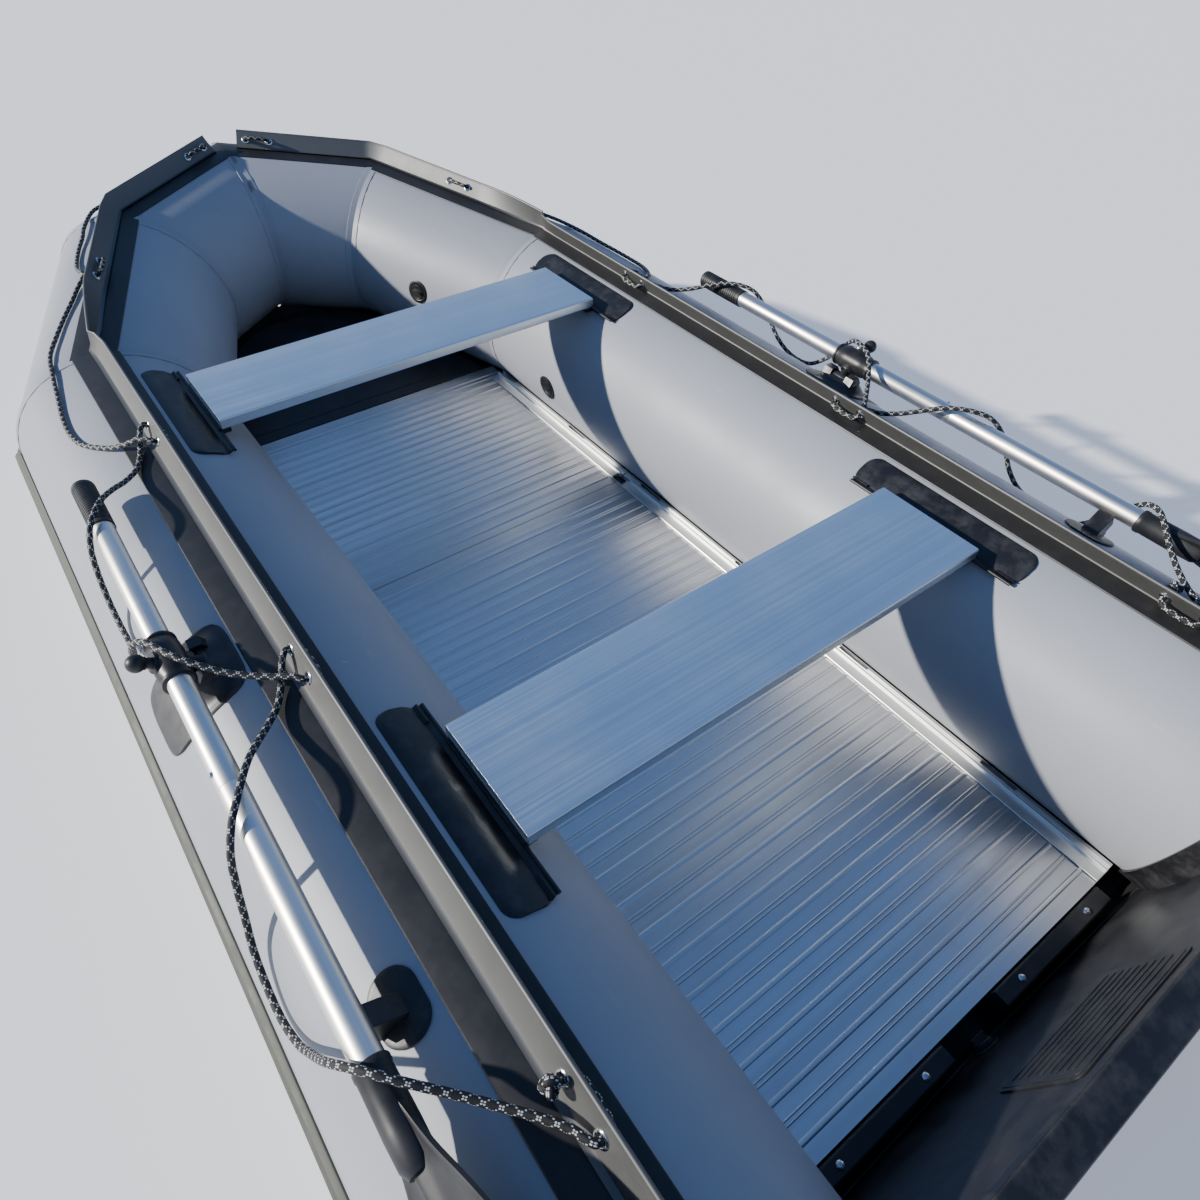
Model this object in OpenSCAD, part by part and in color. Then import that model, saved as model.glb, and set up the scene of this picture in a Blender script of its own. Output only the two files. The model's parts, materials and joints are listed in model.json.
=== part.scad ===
// Inflatable dinghy: mitred fabric tubes, ribbed aluminium floor, two sliding
// bench seats, a pair of two-part oars on tilting oarlocks, and a lifeline.
// +X points to the bow, +Y to port and +Z up. The origin is the middle of the
// footprint, on the ground that the tubes and the keel stand on.

/* [Tubes] */
// Diameter of the buoyancy tubes
tube_d = 430; // [429:0.5:431]
// Distance between the axes of the two side tubes
tube_spacing = 1132; // [1130:1:1136]
// Thickness of the coated fabric with its seams
skin = 1.5; // [1.2:0.1:1.8]
// Where the side tubes meet the bow shoulders
shoulder_x = 660; // [655:1:665]
// Where the shoulders meet the nose, along, across and above the side tubes
nose_x = 1212; // [1208:1:1216]
nose_y = 343; // [340:1:346]
nose_rise = 60; // [58:1:62]
// Where the two nose panels meet, and how far they rise
stem_x = 1410; // [1406:1:1414]
stem_rise = 100; // [96:1:104]
// Start of the tail cones
cone_x = -1390; // [-1394:1:-1388]

/* [Floor] */
// Height of the floor's walking surface
floor_z = 73; // [73:0.5:73.5]
// Length of one ribbed floor panel
panel_len = 638; // [636:1:638]
// Front end of the floor
floor_front = 679; // [677:1:679]
// Distance from one rib to the next
rib_pitch = 28; // [26:0.5:29]

/* [Seats] */
// Length, width and thickness of a bench seat
seat_len = 878; // [876:1:879]
seat_w = 202; // [190:1:210]
seat_t = 22; // [20:1:24]
// Middle of the front seat and of the rear seat
front_seat_x = 364; // [350:1:370]
rear_seat_x = -707; // [-712:1:-700]

/* [Oars] */
// Diameter of the oar's tube
oar_d = 34; // [34:0.1:34.2]
// Where the oarlock's pivot stands
oarlock_x = -308; // [-310:1:-306]
// Rise of the oarlock's stem above the horizontal, in degrees
stem_angle = 32; // [31.5:0.1:32.5]

/* [Rope flange and lifeline] */
// Height of the upstanding flange along the crown of the tube
fin_h = 50; // [48:1:52]
// Diameter of the lifeline
rope_d = 9.2; // [8.8:0.1:9.6]

/* [Hidden] */
$fn = 64;

FABRIC = [0.62, 0.64, 0.67];
BLACK = [0.07, 0.07, 0.08];
ALLOY = [0.80, 0.81, 0.83];
STEEL = [0.62, 0.63, 0.65];
OLIVE = [0.26, 0.27, 0.22];

// Tubes: three straight segments from the tail to the stem.
tube_r = tube_d / 2;
axis_y = tube_spacing / 2;
mitre_1 = [shoulder_x, axis_y, tube_r];
mitre_2 = [nose_x, nose_y, tube_r + nose_rise];
stem = [stem_x, 0, tube_r + stem_rise];
seg_from = [[0, axis_y, tube_r], mitre_1, mitre_2];
seg_to = [mitre_1, mitre_2, stem];
big = 4000;
reach = 400;

// Strake, strips and patches on the tubes.
strake_t = 16;
strake_h = 62;
strip_t = 2.5;
strip_half = 46;
// Strips and strakes stop this far short of a mitre.
strip_gap = 0.3;
// The two nose panels stay apart by twice this.
panel_gap = 0.05;
patch_t = 3;
bow_tip = stem_x + (tube_r + strake_t) * sqrt(1 - pow(dir(2).z, 2)) / abs(dir(2).y);
tail_x = -bow_tip;

// Rope flange: it leans inboard along the sides and outboard round the bow.
fin_t = 4;
fin_foot = 1.2;
fin_start = -1290;
fin_bend = 600;
lean_side = -27;
lean_bow = 34;
lean_done = 240;
eyelet_h = 25;
eyelet_gap = 62;
side_pairs = [-1081, -417, 253];
shoulder_pair = 315;
nose_pair = 330;

// Floor.
deck_t = 2.6;
rib_h = 1.4;
band_w = 36;
panel_half = 388;
web_t = 2.5;
floor_bottom = floor_z - 22;
panel_step = panel_len + 2;
stringer_in = 351;
stringer_out = 392;
// The front stringers end this far behind the floor's front edge, clear of the shoulders.
stringer_back = 56;

// Seats.
rail_len = 350;
rail_out = 512;
rail_in = 447;
bead = [441, 402];
bead_r = 3;
seat_z = 430;

// Transom.
rake = 12;
transom_x = -1271;
transom_z = 8;
transom_t = 35;
transom_h = 421;
bracket_t = 6;

// Oarlock and oar: the pivot lies along X, the stem leans outboard from it.
pivot = [oarlock_x, 660, 425];
stem_r = 8;
oar_off = 45;
oar_r = oar_d / 2;
oar_wall = 1.5;
grip_front = 162;
grip_len = 130;
grip_r = 19;
oar_joint_x = -553;
button_x = -527;
button_r = 3.9;
neck_x = -977;
blade_end = -1430;
collar_len = 90;
collar_r = 24;
knob_at = 89;
knob_r = 13;
clip_x = -884;

// Tow ring: where its bar lies, and half the thickness of its wire.
tow_at = [1614, 0, 172];
tow_wire = 4;

// Valves: [segment, distance along it, roll from the crown towards outboard].
side_valve = [0, 338, -98];
bow_valve = [1, 285, -84];
valve_r = 25;

function unit(v) = v / norm(v);
function dir(i) = unit(seg_to[i] - seg_from[i]);
function out(i) = unit([-dir(i).y, dir(i).x, 0]);
function up(i) = cross(dir(i), out(i));
function seg_len(i) = norm(seg_to[i] - seg_from[i]);
function tube_at(i, along, roll, r) =
    seg_from[i] + along * dir(i) + r * (cos(roll) * up(i) + sin(roll) * out(i));
function lean(i, along) =
    i == 0 ? lean_side + (lean_bow - lean_side) * max(0, along - fin_bend)
             / (shoulder_x - fin_bend + lean_done)
    : i == 1 ? min(lean_bow, lean_bow + (lean_bow - lean_side) * (along - lean_done)
             / (shoulder_x - fin_bend + lean_done))
    : lean_bow;
// A point of the flange: h up from the crown, n out from its middle plane.
function fin_at(i, along, h, n) =
    let (a = lean(i, along))
    tube_at(i, along, 0, tube_r)
    + h * (cos(a) * up(i) + sin(a) * out(i)) + n * (cos(a) * out(i) - sin(a) * up(i));

// ---- helpers ----

// Places things on a tube: X runs along it, Y points outboard and Z up.
module in_segment(i, along) {
    translate(seg_from[i] + along * dir(i))
        rotate([0, -asin(dir(i).z), atan2(dir(i).y, dir(i).x)])
            children();
}

// Turns Z from the crown towards outboard.
module rolled(roll) {
    rotate([-roll, 0, 0]) children();
}

module along_x(x0, x1, r) {
    translate([x0, 0, 0]) rotate([0, 90, 0]) cylinder(h = x1 - x0, r = r);
}

module rod(i, r) {
    in_segment(i, 0) along_x(i == 0 ? cone_x - reach : -reach, seg_len(i) + reach, r);
}

module half_space(p, n) {
    translate(p)
        rotate([0, -asin(n.z), atan2(n.y, n.x)])
            translate([0, -big / 2, -big / 2]) cube(big);
}

// The space between a segment's two mitres, drawn in by gap at both of them.
module between_mitres(i, gap) {
    n_from = i == 0 ? [1, 0, 0] : unit(dir(i - 1) + dir(i));
    n_to = i == 2 ? [0, -1, 0] : unit(dir(i) + dir(i + 1));
    intersection() {
        half_space((i == 0 ? [cone_x, axis_y, tube_r] : seg_from[i]) + gap * n_from, n_from);
        half_space(seg_to[i] - gap * n_to, -n_to);
    }
}

module segment_solid(i, r) {
    intersection() {
        rod(i, r);
        between_mitres(i, 0);
    }
}

module segment_shell(i, r_out, r_in) {
    difference() {
        segment_solid(i, r_out);
        rod(i, r_in);
    }
}

module starboard() {
    mirror([0, 1, 0]) children();
}

module both_sides() {
    children();
    starboard() children();
}

// A shape drawn in Y and Z, drawn out along X.
module bar_x(x0, x1) {
    translate([x0, 0, 0]) rotate([90, 0, 90]) linear_extrude(x1 - x0) children();
}

// A shape drawn in X and Z, drawn out across the boat.
module bar_y(half) {
    translate([0, half, 0]) rotate([90, 0, 0]) linear_extrude(2 * half) children();
}

// A stadium-shaped outline, flat on X and Y.
module stadium(length, width) {
    square([length - width, width], center = true);
    for (s = [-1, 1]) translate([s * (length - width) / 2, 0]) circle(width / 2);
}

// A rectangle with round corners.
module round_rect(length, width, r) {
    square([length - 2 * r, width], center = true);
    square([length, width - 2 * r], center = true);
    for (i = [-1, 1], j = [-1, 1])
        translate([i * (length / 2 - r), j * (width / 2 - r)]) circle(r);
}

// ---- tubes ----

module valve_hole(v) {
    in_segment(v[0], v[1]) rolled(v[2]) translate([0, 0, tube_r - 60]) cylinder(h = 90, r = valve_r);
}

module side_tube() {
    color(FABRIC) difference() {
        segment_shell(0, tube_r, tube_r - skin);
        valve_hole(side_valve);
    }
}

module side_tube_port() {
    side_tube();
}

module side_tube_starboard() {
    starboard() side_tube();
}

module bow_shoulders() {
    color(FABRIC) {
        segment_shell(1, tube_r, tube_r - skin);
        starboard() difference() {
            segment_shell(1, tube_r, tube_r - skin);
            valve_hole(bow_valve);
        }
    }
}

module bow_noses() {
    color(FABRIC) both_sides() intersection() {
        segment_shell(2, tube_r, tube_r - skin);
        between_mitres(2, panel_gap);
    }
}

// Fabric walls that part the air chambers.
module air_baffles() {
    color(FABRIC) both_sides() for (x = [-1300, 600])
        in_segment(0, x) along_x(0, skin, tube_r - skin);
}

module tail_cones() {
    cone = [[0, tube_r], [-60, tube_r - 7], [-120, tube_r - 30], [-180, tube_r - 68],
        [-225, tube_r - 112], [-250, 80]];
    inner = [for (k = [len(cone) - 1:-1:0]) [cone[k].x, cone[k].y - skin]];
    color(FABRIC) both_sides() in_segment(0, cone_x) rotate([0, -90, 0])
        rotate_extrude() polygon([for (p = concat(cone, inner)) [p.y, -p.x]]);
}

module tail_end_caps() {
    color(BLACK) both_sides() in_segment(0, cone_x - 250) rotate([0, -90, 0]) {
        cylinder(h = 18, r = 80);
        translate([0, 0, 18]) cylinder(h = cone_x - 250 - tail_x - 18, r1 = 66, r2 = 40);
    }
}

module rub_strake() {
    color(OLIVE) both_sides() for (i = [0:2]) intersection() {
        segment_shell(i, tube_r + strake_t, tube_r);
        in_segment(i, 0) translate([cone_x - reach, 0, -strake_h / 2]) cube([big, big, strake_h]);
        between_mitres(i, strip_gap);
    }
}

// ---- bottom ----

// Where the bottom's fabric leaves the tube: lower inboard quarter.
function bottom_edge(i, along) = tube_at(i, along, -150, tube_r + 0.4);
function bottom_keel(x) = x < 600 ? 4 : 4 + 96 * pow((x - 600) / 740, 1.6);

module hull_bottom() {
    t = 1.6;
    marks = concat([for (a = [-1270, -900, -450, 0, 450, 620]) [0, a]],
        [for (a = [60, 180, 300, 420, 540]) [1, a]], [for (a = [90, 180, 240, 290, 308]) [2, a]]);
    rows = [for (m = marks) let (e = bottom_edge(m[0], m[1]), k = max(bottom_keel(e.x), e.z - 0.49 * e.y))
        [[e.x, e.y, e.z], [e.x, 0, k], [e.x, -e.y, e.z],
         [e.x, -e.y + 4, e.z + t], [e.x, 0, k + t], [e.x, e.y - 4, e.z + t]]];
    n = len(rows);
    // The upper and lower faces split along the same diagonals, so the sheet keeps its thickness.
    sides = [for (r = [0:n - 2], c = [0:5]) let (a = r * 6 + c, b = r * 6 + (c + 1) % 6)
        each c == 1 || c == 4 ? [[a, b, a + 6], [b, b + 6, a + 6]]
            : [[a, b, b + 6], [a, b + 6, a + 6]]];
    ends = [[0, 5, 1], [1, 5, 4], [1, 4, 2], [2, 4, 3]];
    color(BLACK) polyhedron([for (r = rows) each r],
        concat(sides, ends, [for (f = ends) [for (k = [2:-1:0]) f[k] + 6 * (n - 1)]]), convexity = 6);
}

module keel_tube() {
    color(FABRIC) translate([0, 0, 28]) difference() {
        along_x(-1240, 640, 20);
        along_x(-1240 + skin, 640 - skin, 20 - skin);
    }
}

module keel_strip() {
    color(BLACK) bar_x(-1270, 600) polygon([[-30, 0], [30, 0], [30, 5.4], [0, 3.8], [-30, 5.4]]);
}

// ---- rope flange ----

module eyelet_place(i, along) {
    in_segment(i, along) translate([0, 0, tube_r]) rolled(lean(i, along))
        translate([0, 0, eyelet_h]) rotate([90, 0, 0]) children();
}

module at_eyelets() {
    for (x = side_pairs, s = [-1, 1]) eyelet_place(0, x + s * eyelet_gap / 2) children();
    for (s = [-1, 1]) eyelet_place(1, shoulder_pair + s * eyelet_gap / 2) children();
    for (s = [-1, 1]) eyelet_place(2, nose_pair + s * eyelet_gap / 2) children();
}

module bow_fin() {
    marks = concat([for (a = [fin_bend + 1, 640]) [0, a]], [for (a = [22:59:585]) [1, a]],
        [for (a = [25, 90, 150, 220, 299, 361, 385]) [2, a]]);
    rows = [for (m = marks) for (c = [[fin_foot, -1], [fin_foot, 1], [fin_h, 1], [fin_h, -1]])
        fin_at(m[0], m[1], c[0], c[1] * fin_t / 2)];
    n = len(marks);
    sides = [for (r = [0:n - 2], c = [0:3]) let (a = r * 4 + c, b = r * 4 + (c + 1) % 4)
        each [[a, b + 4, b], [a, a + 4, b + 4]]];
    last = 4 * (n - 1);
    polyhedron(rows, concat(sides, [[0, 1, 2], [0, 2, 3], [last, last + 2, last + 1],
        [last, last + 3, last + 2]]), convexity = 8);
}

module flange_strip(i) {
    intersection() {
        segment_shell(i, tube_r + strip_t, tube_r);
        in_segment(i, 0) translate([fin_start, -strip_half, 0]) cube([big, 2 * strip_half, reach]);
        between_mitres(i, strip_gap);
    }
}

module rope_flange() {
    color(BLACK) {
        for (i = [0:2]) flange_strip(i);
        difference() {
            union() {
                in_segment(0, 0) translate([0, 0, tube_r]) rolled(lean_side)
                    translate([fin_start, -fin_t / 2, fin_foot])
                        cube([fin_bend - fin_start, fin_t, fin_h - fin_foot]);
                bow_fin();
            }
            at_eyelets() cylinder(h = 20, r = 7, center = true);
        }
    }
}

module rope_flange_port() {
    rope_flange();
}

module rope_flange_starboard() {
    starboard() rope_flange();
}

module eyelets() {
    ring = [[6, -3.3], [10, -3.3], [10, -2.1], [7, -2.1], [7, 2.1], [10, 2.1], [10, 3.3], [6, 3.3]];
    color(STEEL) both_sides() at_eyelets() rotate_extrude($fn = 32) polygon(ring);
}

// ---- lifeline ----

// Routes, each from the eyelet that it leaves to the eyelet that it enters.
// Along the sides the points are [x, y, z]; round the bow they are
// [segment, distance along it, roll from the crown, height above the tube].
swag_side = [[268, 574, 454], [245, 585, 440], [218, 594, 437], [186, 609, 436], [150, 634, 444],
    [110, 660, 462], [75, 680, 475], [45, 697, 478], [18, 714, 470], [-5, 727, 446],
    [-27, 734, 414], [-54, 738, 382], [-90, 739, 362], [-130, 738, 357], [-165, 737, 365],
    [-196, 737, 388], [-222, 737, 415], [-245, 733, 444], [-264, 726, 467], [-286, 714, 481],
    [-312, 703, 484], [-338, 689, 483], [-362, 668, 474], [-386, 642, 464], [-408, 614, 459],
    [-426, 590, 458], [-438, 573, 459]];
swag_aft = [[-398, 573, 453], [-413, 582, 444], [-432, 592, 440], [-455, 606, 438], [-482, 628, 443],
    [-510, 648, 456], [-538, 666, 470], [-566, 682, 478], [-592, 698, 479], [-616, 715, 472],
    [-638, 731, 448], [-656, 741, 412], [-674, 749, 374], [-700, 757, 344], [-740, 761, 328],
    [-785, 761, 325], [-825, 755, 340], [-856, 746, 374], [-882, 738, 412], [-904, 730, 447],
    [-926, 717, 471], [-948, 700, 479], [-972, 678, 474], [-1000, 650, 464], [-1030, 622, 457],
    [-1060, 596, 455], [-1088, 575, 456]];
swag_bow = [[1, 337, 7, 20], [1, 318, 12, 12], [1, 285, 16, 6.5], [1, 235, 18, 6], [1, 175, 21, 6],
    [1, 110, 23, 7], [1, 40, 24, 7.5], [0, 620, 24.5, 7.5], [0, 545, 27.5, 6], [0, 480, 30, 6],
    [0, 420, 30.5, 6], [0, 365, 28, 6], [0, 320, 22, 6], [0, 285, 15.5, 8], [0, 258, 9, 18],
    [0, 240, 4, 28]];
swag_nose = [[2, 285, 8, 20], [2, 255, 14, 9], [2, 200, 19, 6], [2, 130, 21, 7], [2, 60, 21, 9], [2, 12, 21, 11],
    [1, 565, 21, 10], [1, 520, 21, 8], [1, 470, 22, 7], [1, 400, 21, 7], [1, 350, 17, 13], [1, 312, 12, 24],
    [1, 297, 10, 27]];

function from_tube(list) = [for (p = list) tube_at(p[0], p[1], p[2], tube_r + p[3])];
// Through a pair: in at the eyelet on side s (1 forward, -1 aft), along behind
// the flange, and out at the other eyelet.
function through_pair(i, mid, s) = let (a = mid + s * eyelet_gap / 2, b = mid - s * eyelet_gap / 2)
    [fin_at(i, a, eyelet_h, 9), fin_at(i, a, eyelet_h, 0), fin_at(i, a, eyelet_h, -8),
     fin_at(i, a - 4 * s, eyelet_h, -14), fin_at(i, a - 14 * s, eyelet_h, -17),
     fin_at(i, b + 14 * s, eyelet_h, -17), fin_at(i, b + 4 * s, eyelet_h, -14),
     fin_at(i, b, eyelet_h, -8), fin_at(i, b, eyelet_h, 0), fin_at(i, b, eyelet_h, 9)];
function knot_at(i, along, far) = [for (n = far ? [23, 20, 12] : [12, 20, 23]) fin_at(i, along, eyelet_h, n)];

// One line from the knot at the nose to the knot at the tail.
lifeline_route = concat(
    knot_at(2, nose_pair + eyelet_gap / 2, true), through_pair(2, nose_pair, 1), from_tube(swag_nose),
    through_pair(1, shoulder_pair, -1), from_tube(swag_bow), through_pair(0, side_pairs[2], -1),
    swag_side, through_pair(0, side_pairs[1], -1), swag_aft, through_pair(0, side_pairs[0], -1),
    knot_at(0, side_pairs[0] + eyelet_gap / 2, false));
knot_r = 8.5;
lifeline_r = concat([3, knot_r, knot_r], [for (k = [7:len(lifeline_route)]) rope_d / 2],
    [knot_r, knot_r, 3]);

function tangent(p, k) = unit(p[min(k + 1, len(p) - 1)] - p[max(k - 1, 0)]);
function carried(p, k) =
    k == 0 ? unit(cross(tangent(p, 0), [0.9, 0.1, 0.2]))
    : let (u = carried(p, k - 1), t = tangent(p, k)) unit(u - (u * t) * t);

// A line along the points p, with the radius r[k] at point k.
module rope(p, r) {
    sides = 8;
    n = len(p);
    rings = [for (k = [0:n - 1]) let (t = tangent(p, k), u = carried(p, k), v = cross(t, u))
        for (a = [0:sides - 1]) p[k] + r[k] * (cos(a * 360 / sides) * u + sin(a * 360 / sides) * v)];
    walls = [for (k = [0:n - 2], a = [0:sides - 1])
        let (q = k * sides + a, w = k * sides + (a + 1) % sides)
        each [[q, w + sides, w], [q, q + sides, w + sides]]];
    polyhedron(rings, concat(walls, [[for (a = [0:sides - 1]) a]],
        [[for (a = [sides - 1:-1:0]) (n - 1) * sides + a]]), convexity = 10);
}

module lifeline() {
    color(BLACK) rope(lifeline_route, lifeline_r);
}

module lifeline_port() {
    lifeline();
}

module lifeline_starboard() {
    starboard() lifeline();
}

// ---- seats and their rails ----

module seat_rails(x) {
    color(BLACK) both_sides() difference() {
        union() {
            intersection() {
                in_segment(0, x - rail_len / 2) along_x(0, rail_len, tube_r + 4);
                translate([x, 0, 0]) linear_extrude(reach * 2)
                    translate([0, (rail_in + rail_out) / 2])
                        round_rect(rail_len, rail_out - rail_in, 20);
                translate([x - rail_len, rail_in, tube_r]) cube([2 * rail_len, reach, reach]);
            }
            bar_x(x - rail_len / 2, x + rail_len / 2) {
                translate([bead.x, bead.y - 1]) square([12, 2]);
                translate(bead) circle(bead_r, $fn = 24);
            }
        }
        in_segment(0, x - rail_len) along_x(0, 2 * rail_len, tube_r);
    }
}

module seat_rails_front() {
    seat_rails(front_seat_x);
}

module seat_rails_rear() {
    seat_rails(rear_seat_x);
}

module bench(x) {
    wall = 2;
    cell = (seat_w - 4 * wall) / 3;
    color(ALLOY) difference() {
        translate([x - seat_w / 2, -seat_len / 2, seat_z - seat_t]) cube([seat_w, seat_len, seat_t]);
        for (k = [0:2]) translate([x - seat_w / 2 + wall + k * (cell + wall),
            wall - seat_len / 2, seat_z - seat_t + wall])
            cube([cell, seat_len - 2 * wall, seat_t - 2 * wall]);
    }
}

// Runners under the seat's ends, hooked round the rails' beads.
module slides(x) {
    under = seat_z - seat_t;
    color(BLACK) both_sides() bar_x(x - seat_w / 2 + 6, x + seat_w / 2 - 6) difference() {
        translate([422, 395.6]) square([22.5, under - 395.6]);
        translate(bead) circle(bead_r + 0.5, $fn = 24);
        translate([bead.x, bead.y - 1.6]) square([12, 3.2]);
    }
}

module front_seat() {
    bench(front_seat_x);
}

module front_seat_slides() {
    slides(front_seat_x);
}

module rear_seat() {
    bench(rear_seat_x);
}

module rear_seat_slides() {
    slides(rear_seat_x);
}

// ---- floor ----

// One ribbed panel, drawn from its front end back; every second rib is wider.
module floor_panel(front) {
    ribs = floor((panel_len - band_w - 10) / rib_pitch);
    base = floor_z - rib_h;
    top = [for (k = [0:ribs - 1])
        let (x = front - band_w - (k + 0.5) * rib_pitch, w = k % 2 == 0 ? 4 : 2.4)
        each [[x + w, base], [x + w - 0.8, floor_z], [x - w + 0.8, floor_z], [x - w, base]]];
    color(ALLOY) bar_y(panel_half) {
        polygon(concat([[front, floor_z], [front - band_w, floor_z], [front - band_w, base]], top,
            [[front - panel_len, base], [front - panel_len, base - deck_t], [front, base - deck_t]]));
        for (x = [front - 12:-102:front - panel_len + 8])
            translate([x - web_t, floor_bottom]) square([web_t, base - deck_t + 0.5 - floor_bottom]);
    }
}

module floor_panel_front() {
    floor_panel(floor_front);
}

module floor_panel_middle() {
    floor_panel(floor_front - panel_step);
}

module floor_panel_rear() {
    floor_panel(floor_front - 2 * panel_step);
}

module stringer(x0, x1) {
    step = 375;
    lip = floor_z + 0.5;
    bar_x(x0, x1) {
        translate([stringer_in, lip]) square([step - stringer_in, 2.5]);
        translate([step - 2, lip]) square([2, 11]);
        translate([step - 2, lip + 8.5]) square([stringer_out - step + 2, 2.5]);
        translate([stringer_out - 2.5, floor_bottom - 3]) square([2.5, lip + 11 - floor_bottom + 3]);
        translate([stringer_in + 9, floor_bottom - 3]) square([stringer_out - stringer_in - 9, 2.6]);
    }
}

module floor_stringers() {
    color(ALLOY) both_sides() for (k = [0:2]) difference() {
        stringer(floor_front - (k + 1) * panel_step + 3,
            floor_front - k * panel_step - (k == 0 ? stringer_back : 0));
        for (s = [0.2, 0.72])
            translate([floor_front - (k + s) * panel_step, stringer_in + 28, floor_z - 30])
                cube([72, 9, 60]);
    }
}

// Plastic clips that lock the sections of the stringers end to end.
module stringer_clips() {
    color(BLACK) both_sides() for (k = [1, 2])
        translate([floor_front - k * panel_step - 16, stringer_in + 2, floor_z + 3.1])
            cube([34, 16, 6]);
}

module bow_board() {
    outline = [[0, 366], [200, 300], [400, 202], [470, 120], [490, 60]];
    color(BLACK) translate([floor_front + 4, 0, floor_z]) rotate([0, -6, 0])
        translate([0, 0, -12]) linear_extrude(12)
            polygon(concat(outline, [for (k = [len(outline) - 1:-1:0]) [outline[k].x, -outline[k].y]]));
}

// Two battens between the floor and the transom, each held by two screws.
module floor_end_block() {
    back = floor_front - 3 * panel_step - 2;
    deep = 28;
    high = 40;
    color(BLACK) both_sides() {
        translate([back - deep, 60, floor_bottom]) cube([deep, 270, high]);
        for (y = [110, 280]) translate([back - deep / 2, y, floor_bottom + high])
            cylinder(h = 3, r = 6);
    }
}

// ---- transom ----

// Frame of the raked board: X is its normal, pointing forward, and Z runs up it.
module raked() {
    translate([transom_x, 0, transom_z]) rotate([0, -rake, 0]) children();
}

module transom_board() {
    outline = [[0, 0], [400, 30], [460, 110], [460, transom_h - 40], [440, transom_h]];
    color(BLACK) difference() {
        raked() translate([-transom_t, 0, 0]) bar_x(0, transom_t)
            polygon(concat(outline, [for (k = [len(outline) - 1:-1:1]) [-outline[k].x, outline[k].y]]));
        both_sides() in_segment(0, 0) along_x(cone_x - 60, -1000, tube_r + bracket_t);
        raked() drain_axis() cylinder(h = 200, r = 14, center = true);
    }
}

// Rubber edging over the board's top edge.
module transom_trim() {
    color(BLACK) raked() difference() {
        translate([-transom_t - 4, -400, transom_h - 16]) cube([transom_t + 8, 800, 20]);
        translate([-transom_t, -401, transom_h - 30]) cube([transom_t, 802, 30]);
    }
}

module plate_outline(w, h) {
    rotate([90, 0, 90]) linear_extrude(3) round_rect(w, h, 18);
}

module motor_plate_inner() {
    color(BLACK) raked() translate([0, 0, transom_h - 115]) plate_outline(240, 170);
}

module motor_plate_outer() {
    color(ALLOY) raked() translate([-transom_t - 3, 0, transom_h - 135]) plate_outline(300, 210);
}

// Moulded holders that bond the transom to the tubes.
module transom_brackets() {
    color(BLACK) both_sides() difference() {
        intersection() {
            in_segment(0, cone_x + 4) along_x(0, 200, tube_r + bracket_t);
            raked() translate([-transom_t - 26, -560, 50]) cube([transom_t + 62, 1120, transom_h - 46]);
            translate([-2000, 0, 0]) cube([4000, axis_y - 60, 1000]);
        }
        in_segment(0, cone_x - 10) along_x(0, 300, tube_r);
    }
}

module drain_axis() {
    translate([0, 0, 60]) rotate([0, 90, 0]) children();
}

module drain_body() {
    color(BLACK) raked() drain_axis() difference() {
        union() {
            translate([0, 0, -transom_t - 3]) cylinder(h = 3, r = 22);
            translate([0, 0, -transom_t]) cylinder(h = transom_t, r = 14);
            cylinder(h = 3, r = 22);
        }
        translate([0, 0, -60]) cylinder(h = 80, r = 11);
    }
}

module drain_plug() {
    color(BLACK) raked() drain_axis() {
        translate([0, 0, -30]) cylinder(h = 33.3, r = 10.6);
        translate([0, 0, 3.3]) cylinder(h = 7, r = 16);
        translate([-13, -2.5, 10.3]) cube([26, 5, 9]);
    }
}

// ---- valves ----

module at_valve(v) {
    in_segment(v[0], v[1]) rolled(v[2]) children();
}

module valve_body(v) {
    at_valve(v) difference() {
        union() {
            translate([0, 0, tube_r - 32]) cylinder(h = 34.5, r = valve_r);
            difference() {
                translate([0, 0, tube_r - 6]) cylinder(h = 8.5, r = 31);
                along_x(-60, 60, tube_r);
            }
        }
        translate([0, 0, tube_r - 28]) cylinder(h = 60, r = 21);
    }
}

module valve_bodies() {
    color(BLACK) {
        valve_body(side_valve);
        starboard() {
            valve_body(side_valve);
            valve_body(bow_valve);
        }
    }
}

module valve_cap(v) {
    color(BLACK) at_valve(v) {
        translate([0, 0, tube_r - 4]) cylinder(h = 7, r = 20);
        translate([-14, -3, tube_r + 3]) cube([28, 6, 5]);
    }
}

module valve_cap_port() {
    valve_cap(side_valve);
}

module valve_cap_starboard() {
    starboard() valve_cap(side_valve);
}

module valve_cap_bow() {
    starboard() valve_cap(bow_valve);
}

// ---- oarlocks ----

// Frame of the stem: Z runs out along it from the pivot, X stays fore and aft.
module on_stem() {
    translate(pivot) rotate([stem_angle - 90, 0, 0]) children();
}

module oarlock_base() {
    lug_x = 18;
    lug_w = 20;
    difference() {
        union() {
            intersection() {
                in_segment(0, oarlock_x - 100) along_x(0, 200, tube_r + patch_t);
                translate([oarlock_x, 683, tube_r]) linear_extrude(reach) round_rect(150, 136, 24);
            }
            for (s = [-1, 1]) translate([oarlock_x + s * (lug_x + lug_w / 2) - lug_w / 2, 0, 0])
                bar_x(0, lug_w) {
                    translate([pivot.y, pivot.z]) circle(17.3, $fn = 6);
                    translate([pivot.y - 15, pivot.z - 40]) square([30, 40]);
                }
            translate([oarlock_x, pivot.y, pivot.z]) along_x(-lug_x - 1, lug_x + 1, 5);
        }
        in_segment(0, oarlock_x - 200) along_x(0, 400, tube_r);
    }
}

module oarlock_bases() {
    color(BLACK) both_sides() oarlock_base();
}

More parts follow.
